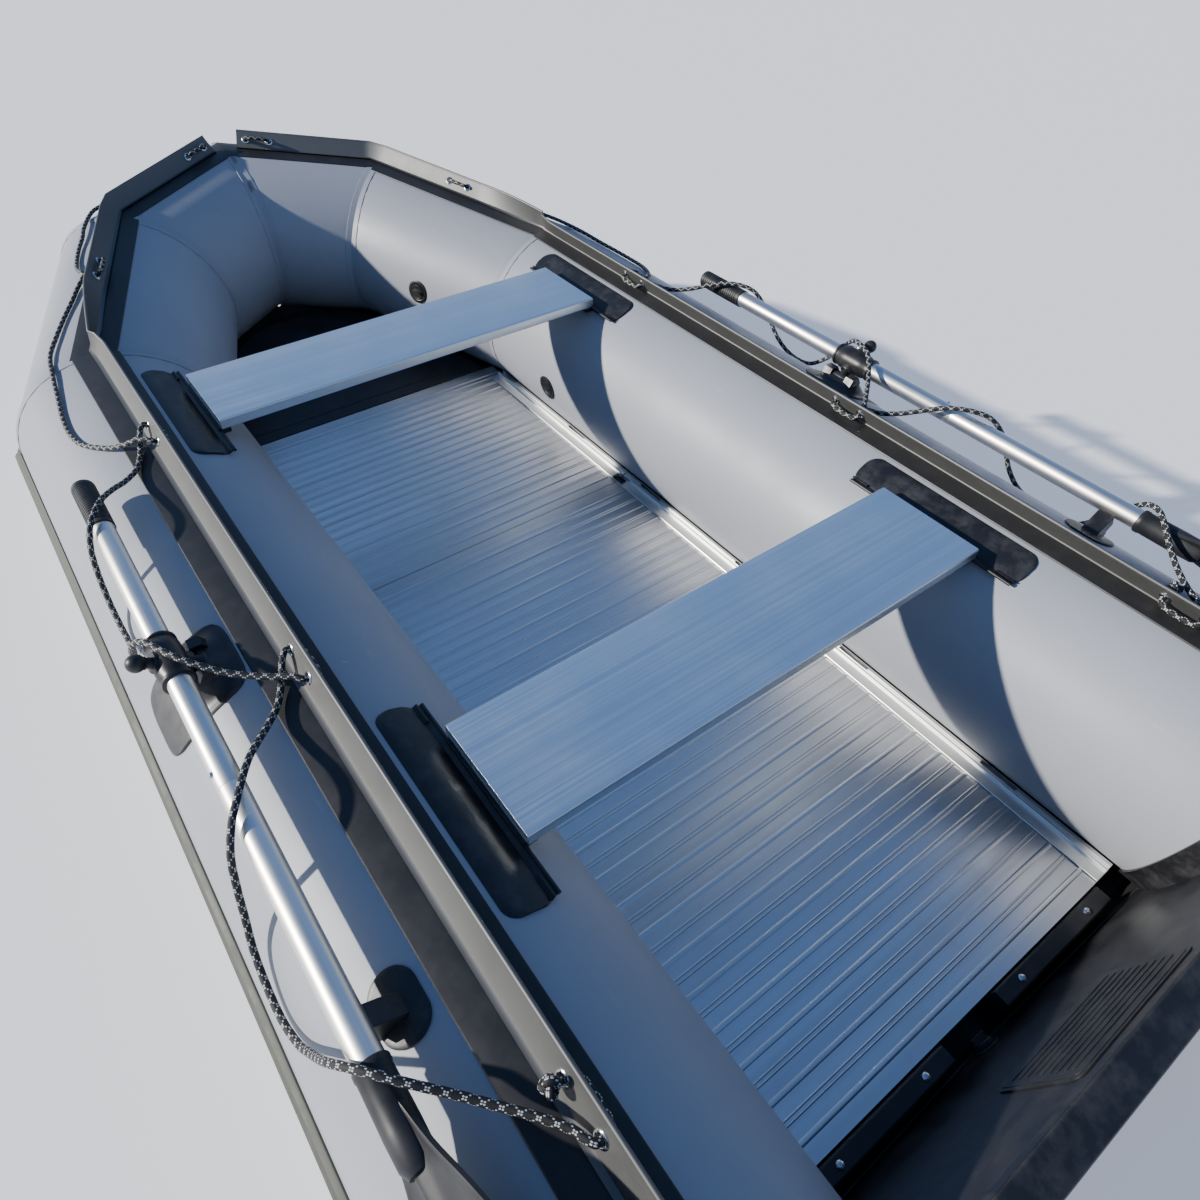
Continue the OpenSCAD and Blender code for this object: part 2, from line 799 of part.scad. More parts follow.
module oarlock_swivel() {
    color(BLACK) on_stem() difference() {
        union() {
            along_x(-17, 17, 10);
            cylinder(h = 76, r = stem_r);
            cylinder(h = 94, r = 4);
        }
        along_x(-20, 20, 5.06);
    }
}

module oarlock_swivel_port() {
    oarlock_swivel();
}

module oarlock_swivel_starboard() {
    starboard() oarlock_swivel();
}

module oarlock_knob() {
    color(BLACK) on_stem() difference() {
        union() {
            translate([0, 0, knob_at]) sphere(r = knob_r);
            translate([0, 0, knob_at - 12]) cylinder(h = 12, r = 8.5);
        }
        translate([0, 0, 70]) cylinder(h = 24.5, r = 4.06);
    }
}

module oarlock_knob_port() {
    oarlock_knob();
}

module oarlock_knob_starboard() {
    starboard() oarlock_knob();
}

// Rubber rest under the shaft, flat on the side that the shaft lies on.
module oar_clip() {
    difference() {
        union() {
            intersection() {
                in_segment(0, clip_x - 80) along_x(0, 160, tube_r + patch_t);
                translate([clip_x, 650, tube_r]) linear_extrude(reach) stadium(86, 56);
            }
            translate([clip_x - pivot.x, 0, 0]) on_stem() {
                translate([-14, -3, -40]) cube([28, 26, 40 + oar_off - oar_r - 0.6]);
                translate([-14, 8, -40]) cube([28, 26, 50]);
            }
        }
        in_segment(0, clip_x - 80) along_x(0, 160, tube_r);
    }
}

module oar_clips() {
    color(BLACK) both_sides() oar_clip();
}

// ---- oars ----

// Frame of the oar: X runs along its shaft, Z along the oarlock's stem.
module on_oar() {
    on_stem() translate([-pivot.x, 0, oar_off]) children();
}

module stem_bore(r) {
    translate([pivot.x, 0, 0]) cylinder(h = 120, r = r, center = true);
}

module oar_upper() {
    color(ALLOY) on_oar() difference() {
        along_x(oar_joint_x, grip_front - 3, oar_r);
        along_x(oar_joint_x - 1, grip_front - 4, oar_r - oar_wall);
        stem_bore(stem_r + 0.3);
        translate([button_x, 0, 0]) cylinder(h = 30, r = button_r + 0.3);
    }
}

// The lower tube has a narrower spigot that enters the upper tube.
module oar_lower() {
    color(ALLOY) on_oar() difference() {
        union() {
            along_x(neck_x - 40, oar_joint_x, oar_r);
            along_x(oar_joint_x, oar_joint_x + 63, oar_r - oar_wall);
        }
        along_x(neck_x - 41, oar_joint_x - 2, oar_r - oar_wall);
        along_x(oar_joint_x - 3, oar_joint_x + 64, oar_r - 2 * oar_wall);
        translate([button_x, 0, 0]) cylinder(h = 30, r = button_r + 0.3);
    }
}

module oar_grip() {
    color(BLACK) on_oar() difference() {
        along_x(grip_front - grip_len, grip_front, grip_r);
        along_x(grip_front - grip_len - 1, grip_front - 3, oar_r);
    }
}

module oar_collar() {
    color(BLACK) on_oar() difference() {
        union() {
            along_x(pivot.x - collar_len / 2, pivot.x + collar_len / 2, collar_r);
            translate([pivot.x, 0, -collar_r - 5]) cylinder(h = 2 * collar_r + 5, r = 15);
        }
        along_x(pivot.x - collar_len, pivot.x + collar_len, oar_r);
        stem_bore(stem_r + 0.3);
    }
}

module oar_blade() {
    color(BLACK) on_oar() difference() {
        union() {
            along_x(neck_x - 60, neck_x + 48, oar_r + 3);
            translate([0, 0, -4]) linear_extrude(8) hull() {
                translate([neck_x, 0]) circle(20, $fn = 32);
                translate([neck_x - 150, 0]) square([10, 150], center = true);
                for (s = [-1, 1]) translate([blade_end + 45, s * 33]) circle(45, $fn = 32);
            }
            along_x(neck_x - 300, neck_x - 50, 9);
        }
        along_x(neck_x - 40, neck_x + 50, oar_r);
    }
}

module oar_button() {
    color(STEEL) on_oar() translate([button_x, 0, 0]) {
        translate([0, 0, 8]) cylinder(h = 3, r = 6);
        translate([0, 0, 10]) cylinder(h = 10.4, r = button_r);
    }
}

module oar_upper_port() {
    oar_upper();
}

module oar_lower_port() {
    oar_lower();
}

module oar_grip_port() {
    oar_grip();
}

module oar_collar_port() {
    oar_collar();
}

module oar_blade_port() {
    oar_blade();
}

module oar_button_port() {
    oar_button();
}

module oar_upper_starboard() {
    starboard() oar_upper();
}

module oar_lower_starboard() {
    starboard() oar_lower();
}

module oar_grip_starboard() {
    starboard() oar_grip();
}

module oar_collar_starboard() {
    starboard() oar_collar();
}

module oar_blade_starboard() {
    starboard() oar_blade();
}

module oar_button_starboard() {
    starboard() oar_button();
}

// ---- bow fittings ----

module tow_ring_patch() {
    color(BLACK) {
        both_sides() intersection() {
            segment_shell(2, tube_r + 5, tube_r);
            translate([stem_x, -50, tow_at.z - 40]) cube([reach, 100, 80]);
        }
        difference() {
            hull() {
                translate(tow_at - [24, 14, 12]) cube([4, 28, 24]);
                translate(tow_at) rotate([90, 0, 0]) cylinder(h = 28, r = 9, center = true, $fn = 32);
            }
            translate(tow_at) rotate([90, 0, 0]) cylinder(h = 60, r = tow_wire + 0.5, center = true);
            both_sides() rod(2, tube_r);
        }
    }
}

// D-shaped ring that hangs from the patch.
module tow_ring() {
    half = 26;
    color(STEEL) translate(tow_at) {
        rotate([90, 0, 0]) cylinder(h = 2 * half + 2 * tow_wire, r = tow_wire, center = true);
        intersection() {
            rotate([0, 90, 0]) rotate_extrude() translate([half, 0]) circle(tow_wire, $fn = 24);
            translate([-50, -50, -100]) cube(100);
        }
    }
}

side_tube_port();
side_tube_starboard();
bow_shoulders();
bow_noses();
air_baffles();
tail_cones();
tail_end_caps();
rub_strake();
hull_bottom();
keel_tube();
keel_strip();
rope_flange_port();
rope_flange_starboard();
eyelets();
lifeline_port();
lifeline_starboard();
seat_rails_front();
seat_rails_rear();
bow_board();
floor_panel_front();
floor_panel_middle();
floor_panel_rear();
floor_stringers();
stringer_clips();
floor_end_block();
transom_board();
transom_trim();
motor_plate_inner();
motor_plate_outer();
transom_brackets();
drain_body();
valve_bodies();
oarlock_bases();
oar_clips();
tow_ring_patch();
front_seat();
front_seat_slides();
rear_seat();
rear_seat_slides();
oarlock_swivel_port();
oarlock_swivel_starboard();
oar_upper_port();
oar_lower_port();
oar_grip_port();
oar_collar_port();
oar_blade_port();
oar_upper_starboard();
oar_lower_starboard();
oar_grip_starboard();
oar_collar_starboard();
oar_blade_starboard();
oar_button_port();
oar_button_starboard();
oarlock_knob_port();
oarlock_knob_starboard();
valve_cap_port();
valve_cap_starboard();
valve_cap_bow();
drain_plug();
tow_ring();
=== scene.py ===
"""Looks of the inflatable dinghy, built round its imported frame, in metres.

+X points to the bow, +Y to port and +Z up. Each section makes the pieces of
one part of the boat; starboard pieces mirror the port ones.
"""

import json
import math

import bmesh
import bpy
import numpy as np
from mathutils import Matrix, Vector
from mathutils.geometry import tessellate_polygon


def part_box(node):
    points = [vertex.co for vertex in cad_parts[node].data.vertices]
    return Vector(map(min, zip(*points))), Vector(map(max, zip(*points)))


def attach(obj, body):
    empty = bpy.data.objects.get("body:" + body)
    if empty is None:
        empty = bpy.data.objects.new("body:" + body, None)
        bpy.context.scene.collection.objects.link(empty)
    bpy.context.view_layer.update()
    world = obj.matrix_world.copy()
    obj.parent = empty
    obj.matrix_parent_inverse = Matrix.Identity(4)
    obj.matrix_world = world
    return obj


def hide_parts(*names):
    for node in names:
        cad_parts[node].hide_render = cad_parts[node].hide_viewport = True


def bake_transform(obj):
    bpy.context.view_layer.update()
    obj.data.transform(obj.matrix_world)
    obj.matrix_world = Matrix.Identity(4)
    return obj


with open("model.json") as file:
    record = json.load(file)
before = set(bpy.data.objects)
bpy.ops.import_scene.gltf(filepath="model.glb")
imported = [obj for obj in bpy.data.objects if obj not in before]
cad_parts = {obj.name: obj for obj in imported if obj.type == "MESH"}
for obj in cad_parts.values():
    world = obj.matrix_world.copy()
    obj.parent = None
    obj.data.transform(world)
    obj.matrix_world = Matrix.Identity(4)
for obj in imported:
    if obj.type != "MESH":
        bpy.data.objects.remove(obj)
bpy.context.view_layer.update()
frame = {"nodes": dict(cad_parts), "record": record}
NODES = frame["nodes"]
SIDES = {"port": 1, "starboard": -1}
FLIP = Matrix.Diagonal((1, -1, 1, 1))
SMOOTH_ANGLE = math.radians(35)

# ---- the tubes' centre lines ----

tube_low, tube_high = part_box("side_tube_port")
TUBE_R = (tube_high.z - tube_low.z) / 2
AXIS_Y = (tube_high.y + tube_low.y) / 2
CONE_X = tube_low.x
CORNERS = [
    Vector((0, AXIS_Y, TUBE_R)),
    Vector((0.660, AXIS_Y, TUBE_R)),
    Vector((1.212, 0.343, TUBE_R + 0.060)),
    Vector((1.410, 0, TUBE_R + 0.100)),
]
DIR = [(b - a).normalized() for a, b in zip(CORNERS, CORNERS[1:])]
OUT = [Vector((-d.y, d.x, 0)).normalized() for d in DIR]
UP = [d.cross(o) for d, o in zip(DIR, OUT)]
MITRE = [
    Vector((1, 0, 0)),
    (DIR[0] + DIR[1]).normalized(),
    (DIR[1] + DIR[2]).normalized(),
    Vector((0, -1, 0)),
]

# The rope flange leans inboard along the sides and outboard round the bow.
FIN_H = 0.050
FIN_START = -1.290
FIN_BEND = 0.600
LEAN_SIDE = -27
LEAN_BOW = 34
LEAN_DONE = 0.240
LEAN_SPAN = CORNERS[1].x - FIN_BEND + LEAN_DONE

# Eyelets, in pairs: [segment, middle of the pair].
EYELET_H = 0.025
EYELET_GAP = 0.062
PAIRS = [(2, 0.330), (1, 0.315), (0, 0.253), (0, -0.417), (0, -1.081)]


def radial(i, roll):
    """Points from segment i's axis to its surface; roll turns from the crown to outboard."""
    a = math.radians(roll)
    return UP[i] * math.cos(a) + OUT[i] * math.sin(a)


def tube_at(i, along, roll, r):
    return CORNERS[i] + DIR[i] * along + radial(i, roll) * r


def lean(i, along):
    done = (LEAN_BOW - LEAN_SIDE) / LEAN_SPAN
    if i == 0:
        return LEAN_SIDE + done * max(0, along - FIN_BEND)
    if i == 1:
        return min(LEAN_BOW, LEAN_BOW + done * (along - LEAN_DONE))
    return LEAN_BOW


def fin_at(i, along, h, n):
    """A point of the flange: h up from the crown, n out from its middle plane."""
    a = lean(i, along)
    return tube_at(i, along, 0, TUBE_R) + radial(i, a) * h + radial(i, a + 90) * n


def mitre_along(i, plane, roll, r):
    """How far along segment i a point at that roll and radius meets a corner's plane."""
    start = tube_at(i, 0, roll, r)
    return (CORNERS[plane] - start).dot(MITRE[plane]) / DIR[i].dot(MITRE[plane])


def along_segment(i, share, roll, r, first, last=None):
    """How far along segment i a share of its length is; first and last end the whole tube."""
    start = first if i == 0 else mitre_along(i, i, roll, r)
    end = last if last and i == 2 else mitre_along(i, i + 1, roll, r)
    return start + (end - start) * share


# ---- making pieces ----


class Shape:
    """Collects faces, with a texture coordinate for each corner, and becomes a piece."""

    def __init__(self):
        self.points = []
        self.faces = []
        self.uvs = []

    def add(self, points, faces, uvs=None):
        first = len(self.points)
        self.points += [Vector(p) for p in points]
        self.faces += [[first + k for k in f] for f in faces]
        self.uvs += [[uvs[k] for k in f] if uvs else [(0, 0)] * len(f) for f in faces]
        return self

    def loft(self, rings, closed=True, caps=True):
        """A skin over rings of points, each with as many points as the first."""
        n = len(rings[0])
        last = n if closed else n - 1
        faces = []
        for r in range(len(rings) - 1):
            for k in range(last):
                a, b = r * n + k, r * n + (k + 1) % n
                faces.append((a, b, b + n, a + n))
        if caps and closed:
            faces.append(tuple(range(n - 1, -1, -1)))
            faces.append(tuple((len(rings) - 1) * n + k for k in range(n)))
        return self.add([p for ring in rings for p in ring], faces)

    def lathe(self, place, profile, steps=40, caps=True):
        """A turned solid: profile is (radius, height) pairs from its foot to its top."""
        turn = [2 * math.pi * k / steps for k in range(steps)]
        rings = []
        for r, z in profile:
            r = max(r, 1e-5)
            rings.append([place @ Vector((r * math.cos(t), r * math.sin(t), z)) for t in turn])
        return self.loft(rings, caps=caps)

    def prism(self, place, outline, low, high):
        """An outline on X and Y, drawn from height low to height high."""
        rings = [[place @ Vector((x, y, z)) for x, y in outline] for z in (low, high)]
        return self.loft(rings)

    def box(self, place, low, high):
        outline = [(low[0], low[1]), (high[0], low[1]), (high[0], high[1]), (low[0], high[1])]
        return self.prism(place, outline, low[2], high[2])

    def mirrored(self):
        other = Shape()
        other.points = [Vector((p.x, -p.y, p.z)) for p in self.points]
        other.faces = [f[::-1] for f in self.faces]
        other.uvs = [u[::-1] for u in self.uvs]
        return other

    def on_side(self, side):
        return self if SIDES[side] > 0 else self.mirrored()

    def plus_mirrored(self):
        other = self.mirrored()
        first = len(self.points)
        self.points += other.points
        self.faces += [[first + k for k in f] for f in other.faces]
        self.uvs += other.uvs
        return self

    def piece(self, name, finish, body, slot, replaces=(), bevel=0, smooth=True):
        mesh = bpy.data.meshes.new(name)
        mesh.from_pydata(self.points, [], self.faces)
        layer = mesh.uv_layers.new(name="surface")
        layer.data.foreach_set("uv", [x for face in self.uvs for uv in face for x in uv])
        tidy = bmesh.new()
        tidy.from_mesh(mesh)
        bmesh.ops.remove_doubles(tidy, verts=tidy.verts, dist=1e-6)
        bmesh.ops.recalc_face_normals(tidy, faces=tidy.faces)
        tidy.to_mesh(mesh)
        tidy.free()
        mesh.materials.append(finish)
        mesh.shade_smooth()
        obj = bpy.data.objects.new(name, mesh)
        bpy.context.scene.collection.objects.link(obj)
        if bevel:
            edge = obj.modifiers.new("rounded edges", "BEVEL")
            edge.width = bevel
            edge.segments = 3
            edge.limit_method = "ANGLE"
            edge.angle_limit = math.radians(40)
            edge.harden_normals = True
        if not smooth or bevel:
            mesh.set_sharp_from_angle(angle=SMOOTH_ANGLE)
        return settled(obj, body, replaces)


def settled(obj, body, replaces=()):
    """Puts a finished object on its body and hides the parts that it stands for."""
    if body:
        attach(obj, body)
    if replaces:
        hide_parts(*replaces)
    return obj


def arc(cx, cy, r, start, end, steps):
    """Points of an arc on X and Y, from angle start to angle end in degrees."""
    turn = [math.radians(start + (end - start) * k / steps) for k in range(steps + 1)]
    return [(cx + r * math.cos(t), cy + r * math.sin(t)) for t in turn]


def round_rect(length, width, r, steps=6):
    """A rectangle with round corners, centred, going anticlockwise."""
    x, y = length / 2 - r, width / 2 - r
    outline = []
    for cx, cy, start in ((x, y, 0), (-x, y, 90), (-x, -y, 180), (x, -y, 270)):
        outline += arc(cx, cy, r, start, start + 90, steps)
    return outline


def on_tube(i, along, roll=0):
    """Frame at a tube's surface: Z points out of it and X along it."""
    z = radial(i, roll)
    return framed(tube_at(i, along, roll, TUBE_R), DIR[i], z)


def framed(at, x, z):
    """Frame at a point: Z as given and X as near as it can be to x."""
    z = z.normalized()
    y = z.cross(x).normalized()
    turned = Matrix((y.cross(z), y, z)).transposed()
    return Matrix.Translation(at) @ turned.to_4x4()


def smoothed(points, step):
    """A smooth line through points, with one point for about every step of length."""
    p = [Vector(q) for q in points]
    p = [p[0] * 2 - p[1], *p, p[-1] * 2 - p[-2]]
    line = []
    for a, b, c, d in zip(p, p[1:], p[2:], p[3:]):
        t1 = (b - a).length ** 0.5
        t2 = t1 + (c - b).length ** 0.5
        t3 = t2 + (d - c).length ** 0.5
        count = max(1, round((c - b).length / step))
        for k in range(count):
            t = t1 + (t2 - t1) * k / count
            a1 = a * ((t1 - t) / t1) + b * (t / t1)
            a2 = b * ((t2 - t) / (t2 - t1)) + c * ((t - t1) / (t2 - t1))
            a3 = c * ((t3 - t) / (t3 - t2)) + d * ((t - t2) / (t3 - t2))
            b1 = a1 * ((t2 - t) / t2) + a2 * (t / t2)
            b2 = a2 * ((t3 - t) / (t3 - t1)) + a3 * ((t - t1) / (t3 - t1))
            line.append(b1 * ((t2 - t) / (t2 - t1)) + b2 * ((t - t1) / (t2 - t1)))
    return [*line, p[-2]]


def smoothed_pairs(pairs, step):
    return [(p.x, p.y) for p in smoothed([(x, y, 0) for x, y in pairs], step)]


def carried_frames(line):
    """A pair of cross directions at each point of a line, turning as little as it can."""
    tangents = [(line[min(k + 1, len(line) - 1)] - line[max(k - 1, 0)]).normalized()
                for k in range(len(line))]
    u = tangents[0].cross(Vector((0.9, 0.1, 0.2))).normalized()
    pairs = []
    for t in tangents:
        u = (u - t * u.dot(t)).normalized()
        pairs.append((u, t.cross(u)))
    return pairs


def hose(shape, line, radius, around):
    """A round tube along a line; radius is a length or a function of (length along, turn)."""
    run = 0.0
    rings = []
    spans = []
    for k, (p, (u, v)) in enumerate(zip(line, carried_frames(line))):
        run += (p - line[k - 1]).length if k else 0
        spans.append(run)
        ring = []
        for a in range(around):
            t = 2 * math.pi * a / around
            r = radius(run, t) if callable(radius) else radius
            ring.append(p + (u * math.cos(t) + v * math.sin(t)) * r)
        rings.append(ring)
    first = len(shape.faces)
    shape.loft(rings)
    for r in range(len(rings) - 1):
        for a in range(around):
            low, high = a / around, (a + 1) / around
            shape.uvs[first + r * around + a] = [
                (low, spans[r]), (high, spans[r]), (high, spans[r + 1]), (low, spans[r + 1])]
    return shape


# ---- finishes ----


def give(tree, socket, value):
    """Links a node's input to another's output, or sets it; a colour gets its alpha."""
    if isinstance(value, bpy.types.NodeSocket):
        tree.links.new(value, socket)
    elif isinstance(value, (tuple, list)) and socket.type == "RGBA":
        socket.default_value = (*value[:3], 1)
    else:
        socket.default_value = value


def add_node(tree, kind, settings, sockets):
    """A node with its settings and its inputs; an underscore stands for a space."""
    node = tree.nodes.new(kind)
    for label, value in (settings or {}).items():
        setattr(node, label, value)
    for label, value in sockets.items():
        give(tree, node.inputs[label.replace("_", " ")], value)
    return node


class Finish:
    """A shader of named nodes; a value that is the same everywhere goes on the socket."""

    def __init__(self, name, **sockets):
        self.material = bpy.data.materials.new(name)
        self.material.use_nodes = True
        self.tree = self.material.node_tree
        self.shader = self.tree.nodes["Principled BSDF"]
        for label, value in sockets.items():
            give(self.tree, self.shader.inputs[label.replace("_", " ")], value)
        self.place = self.node("ShaderNodeTexCoord").outputs["Object"]
        self.surface = self.node("ShaderNodeTexCoord").outputs["UV"]

    def node(self, kind, settings=None, **sockets):
        return add_node(self.tree, kind, settings, sockets)

    def stretched(self, along, across, up, source=None):
        """Object coordinates with a scale of its own along each axis."""
        node = self.node("ShaderNodeMapping", Vector=source or self.place)
        node.inputs["Scale"].default_value = (along, across, up)
        return node.outputs["Vector"]

    def noise(self, scale, detail=3, source=None, roughness=0.5):
        node = self.node("ShaderNodeTexNoise", Vector=source or self.place, Scale=scale,
                         Detail=detail, Roughness=roughness)
        return node.outputs["Fac"]

    def cells(self, scale):
        node = self.node("ShaderNodeTexVoronoi", Vector=self.place, Scale=scale)
        return node.outputs["Distance"]

    def waves(self, scale, direction):
        node = self.node("ShaderNodeTexWave", {"bands_direction": direction},
                         Vector=self.place, Scale=scale)
        return node.outputs["Fac"]

    def math(self, operation, a, b=0.0):
        node = self.node("ShaderNodeMath", {"operation": operation})
        for socket, value in zip(node.inputs, (a, b)):
            give(self.tree, socket, value)
        return node.outputs[0]

    def ranged(self, value, low, high, to_low=0.0, to_high=1.0):
        """A value's run from low to high, stretched over the run from to_low to to_high."""
        node = self.node("ShaderNodeMapRange", Value=value)
        for label, x in (("From Min", low), ("From Max", high), ("To Min", to_low),
                         ("To Max", to_high)):
            node.inputs[label].default_value = x
        return node.outputs["Result"]

    def between(self, share, a, b):
        """A colour between a and b."""
        node = self.node("ShaderNodeMix", {"data_type": "RGBA"}, Factor=share)
        for socket, value in ((node.inputs[6], a), (node.inputs[7], b)):
            give(self.tree, socket, value)
        return node.outputs[2]

    def bump(self, height, distance, strength=1.0, over=None):
        node = self.node("ShaderNodeBump", Height=height, Distance=distance, Strength=strength)
        if over:
            self.tree.links.new(over, node.inputs["Normal"])
        return node.outputs["Normal"]

    def done(self, colour=None, roughness=None, normal=None, metallic=None):
        linked = {"Base Color": colour, "Roughness": roughness, "Normal": normal,
                  "Metallic": metallic}
        for label, socket in linked.items():
            if socket is not None:
                self.tree.links.new(socket, self.shader.inputs[label])
        return self.material


def coated_fabric(name, colour, scuffed, roughness=0.46):
    """Semi-matte coated polyester: the weave shows faintly through the coating."""
    f = Finish(name, IOR=1.5)
    weave = f.math("MULTIPLY", f.waves(700, "X"), f.waves(700, "Z"))
    grain = f.noise(900, 2)
    clouds = f.noise(5, 4)
    scuffs = f.noise(60, 5, f.stretched(0.15, 1, 1), 0.7)
    worn = f.ranged(scuffs, 0.63, 0.74)
    colour_node = f.between(f.ranged(clouds, 0.3, 0.7), colour, [c * 0.93 for c in colour])
    colour_node = f.between(f.math("MULTIPLY", worn, 0.35), colour_node, scuffed)
    rough = f.ranged(clouds, 0.3, 0.7, roughness - 0.05, roughness + 0.06)
    normal = f.bump(f.math("ADD", weave, grain), 0.00004, 0.5)
    normal = f.bump(f.noise(14, 2), 0.0012, 0.35, normal)
    return f.done(colour_node, rough, normal)


def moulded_rubber(name, colour, roughness=0.42, grain=0.00008, ior=1.5, dusty=1.0):
    """Satin black rubber with a fine pebble grain and blotches of dust."""
    f = Finish(name, IOR=ior)
    pebble = f.cells(1400)
    dust = f.noise(30, 5, None, 0.65)
    tone = f.between(f.ranged(dust, 0.45, 0.75), colour, [c + 0.03 * dusty for c in colour])
    rough = f.ranged(dust, 0.35, 0.7, roughness - 0.06 * dusty, roughness + 0.14 * dusty)
    normal = f.bump(pebble, grain, 0.6)
    normal = f.bump(f.noise(45, 3), 0.0004, 0.3, normal)
    return f.done(tone, rough, normal)


def moulded_plastic(name, colour, roughness=0.38):
    """Dull injection moulding with a faint haze."""
    f = Finish(name, IOR=1.46)
    speckle = f.noise(1800, 2)
    haze = f.noise(24, 4)
    tone = f.between(f.ranged(haze, 0.4, 0.7), colour, [c + 0.015 for c in colour])
    rough = f.ranged(haze, 0.3, 0.7, roughness - 0.05, roughness + 0.1)
    return f.done(tone, rough, f.bump(speckle, 0.00005, 0.5))


def drawn_alloy(name, colour, along="X", roughness=0.3, streak=0.12):
    """Extruded aluminium: fine die lines run along it, and the anodising varies in gloss."""
    f = Finish(name, Metallic=1.0)
    scales = {"X": (1.2, 260, 260), "Y": (260, 1.2, 260)}[along]
    lines = f.noise(1, 4, f.stretched(*scales), 0.6)
    broad = f.noise(1, 3, f.stretched(*[s * 0.16 for s in scales]), 0.5)
    blotch = f.noise(7, 4)
    scratch = f.ranged(f.noise(1, 2, f.stretched(90, 9, 30), 0.4), 0.72, 0.78)
    tone = f.between(f.ranged(broad, 0.3, 0.7), colour, [c * (1 - streak) for c in colour])
    tone = f.between(f.math("MULTIPLY", scratch, 0.4), tone, [min(1, c * 1.15) for c in colour])
    rough = f.math("ADD", f.ranged(lines, 0.3, 0.7, roughness - 0.07, roughness + 0.07),
                   f.ranged(blotch, 0.4, 0.75, 0.0, 0.07))
    return f.done(tone, rough, f.bump(lines, 0.00003, 0.6))


def polished_steel(name):
    """Bright steel with fine handling marks."""
    f = Finish(name, Metallic=1.0)
    marks = f.noise(420, 4, None, 0.7)
    rough = f.ranged(marks, 0.35, 0.7, 0.12, 0.3)
    tone = f.between(f.ranged(marks, 0.5, 0.8), (0.66, 0.67, 0.68), (0.5, 0.5, 0.52))
    return f.done(tone, rough, f.bump(marks, 0.00003, 0.4))


BRAID_YARNS = 12
BRAID_PITCH = 0.036


def braided_rope(name):
    """Black braid with pale flecks on the crowns of two of its yarns, which are painted highlights
    of the shiny braid; the piece's own map runs round and along it.
    """
    f = Finish(name, Roughness=0.62, IOR=1.45)
    split = f.node("ShaderNodeSeparateXYZ", Vector=f.surface)
    turn = f.math("MULTIPLY", split.outputs["X"], BRAID_YARNS)
    run = f.math("MULTIPLY", split.outputs["Y"], BRAID_YARNS / BRAID_PITCH)
    left = f.math("ADD", turn, run)
    right = f.math("SUBTRACT", turn, run)
    rise = f.math("SUBTRACT", f.math("SINE", f.math("MULTIPLY", left, math.pi)),
                  f.math("SINE", f.math("MULTIPLY", right, math.pi)))
    yarn = f.math("FRACT", f.math("DIVIDE", left, BRAID_YARNS / 2))
    back = f.math("FRACT", f.math("DIVIDE", right, BRAID_YARNS / 2))
    # The pale flecks where these two yarns run on top are painted highlights of the shiny black
    # braid.
    share = 2.2 / BRAID_YARNS
    over = f.math("MULTIPLY", f.math("LESS_THAN", yarn, share),
                  f.math("GREATER_THAN", rise, 0.75))
    under = f.math("MULTIPLY", f.math("LESS_THAN", back, share),
                   f.math("LESS_THAN", rise, -0.75))
    painted_highlight_fleck = f.math("MAXIMUM", over, under)
    fibre = f.noise(1, 2, f.stretched(260, 4000, 1, f.surface))
    # Pale colour of the flecks: painted highlight.
    tone = f.between(painted_highlight_fleck, (0.012, 0.012, 0.013), (0.62, 0.62, 0.6))
    tone = f.between(f.ranged(fibre, 0.5, 0.9, 0, 0.4), tone, (0.05, 0.05, 0.055))
    return f.done(tone, None, f.bump(fibre, 0.00025, 0.8))


def woven_board(name, colour):
    """Plywood under a black coat with a fine mesh embossed in it."""
    f = Finish(name, IOR=1.5)
    mesh = f.math("MULTIPLY", f.waves(260, "Y"), f.waves(260, "Z"))
    blotch = f.noise(18, 4)
    tone = f.between(f.ranged(blotch, 0.4, 0.75), colour, [c + 0.018 for c in colour])
    rough = f.ranged(blotch, 0.3, 0.7, 0.33, 0.5)
    return f.done(tone, rough, f.bump(mesh, 0.00008, 0.6))


def worn_floor(name):
    """Mill-finish floor sheet: brushed across, with broad streaks and faint water marks."""
    f = Finish(name, Metallic=1.0)
    lines = f.noise(1, 3, f.stretched(420, 0.5, 420), 0.5)
    broad = f.noise(1, 3, f.stretched(60, 0.3, 60), 0.5)
    marks = f.noise(9, 5, None, 0.6)
    tone = f.between(f.ranged(broad, 0.35, 0.65), (0.76, 0.765, 0.77), (0.67, 0.68, 0.695))
    tone = f.between(f.ranged(marks, 0.55, 0.75, 0, 0.2), tone, (0.50, 0.51, 0.52))
    rough = f.math("ADD", f.ranged(broad, 0.3, 0.7, 0.33, 0.40),
                   f.ranged(marks, 0.45, 0.7, 0, 0.07))
    return f.done(tone, rough, f.bump(lines, 0.00001, 0.5))


TUBE_FABRIC = coated_fabric("tube fabric", (0.365, 0.378, 0.41), (0.50, 0.51, 0.53))
SEAM_TAPE = coated_fabric("seam tape", (0.348, 0.36, 0.392), (0.47, 0.48, 0.50), 0.5)
INNER_FABRIC = coated_fabric("inner fabric", (0.17, 0.175, 0.185), (0.22, 0.22, 0.23), 0.6)
BOTTOM_FABRIC = coated_fabric("bottom fabric", (0.018, 0.018, 0.02), (0.06, 0.06, 0.065), 0.5)
STRAKE_RUBBER = moulded_rubber("strake rubber", (0.055, 0.058, 0.042), 0.55)
FLANGE_RUBBER = moulded_rubber("flange rubber", (0.017, 0.017, 0.018), 0.46, 0.00004, 1.5, 0.3)
FLANGE_WEB = moulded_rubber("flange web", (0.042, 0.042, 0.038), 0.56, 0.00003, 2.1, 0.2)
PATCH_RUBBER = moulded_rubber("patch rubber", (0.012, 0.012, 0.014), 0.38)
GRIP_RUBBER = moulded_rubber("grip rubber", (0.013, 0.013, 0.014), 0.5)
BLACK_PLASTIC = moulded_plastic("black plastic", (0.012, 0.012, 0.013))
BLADE_PLASTIC = moulded_plastic("blade plastic", (0.016, 0.016, 0.018), 0.45)
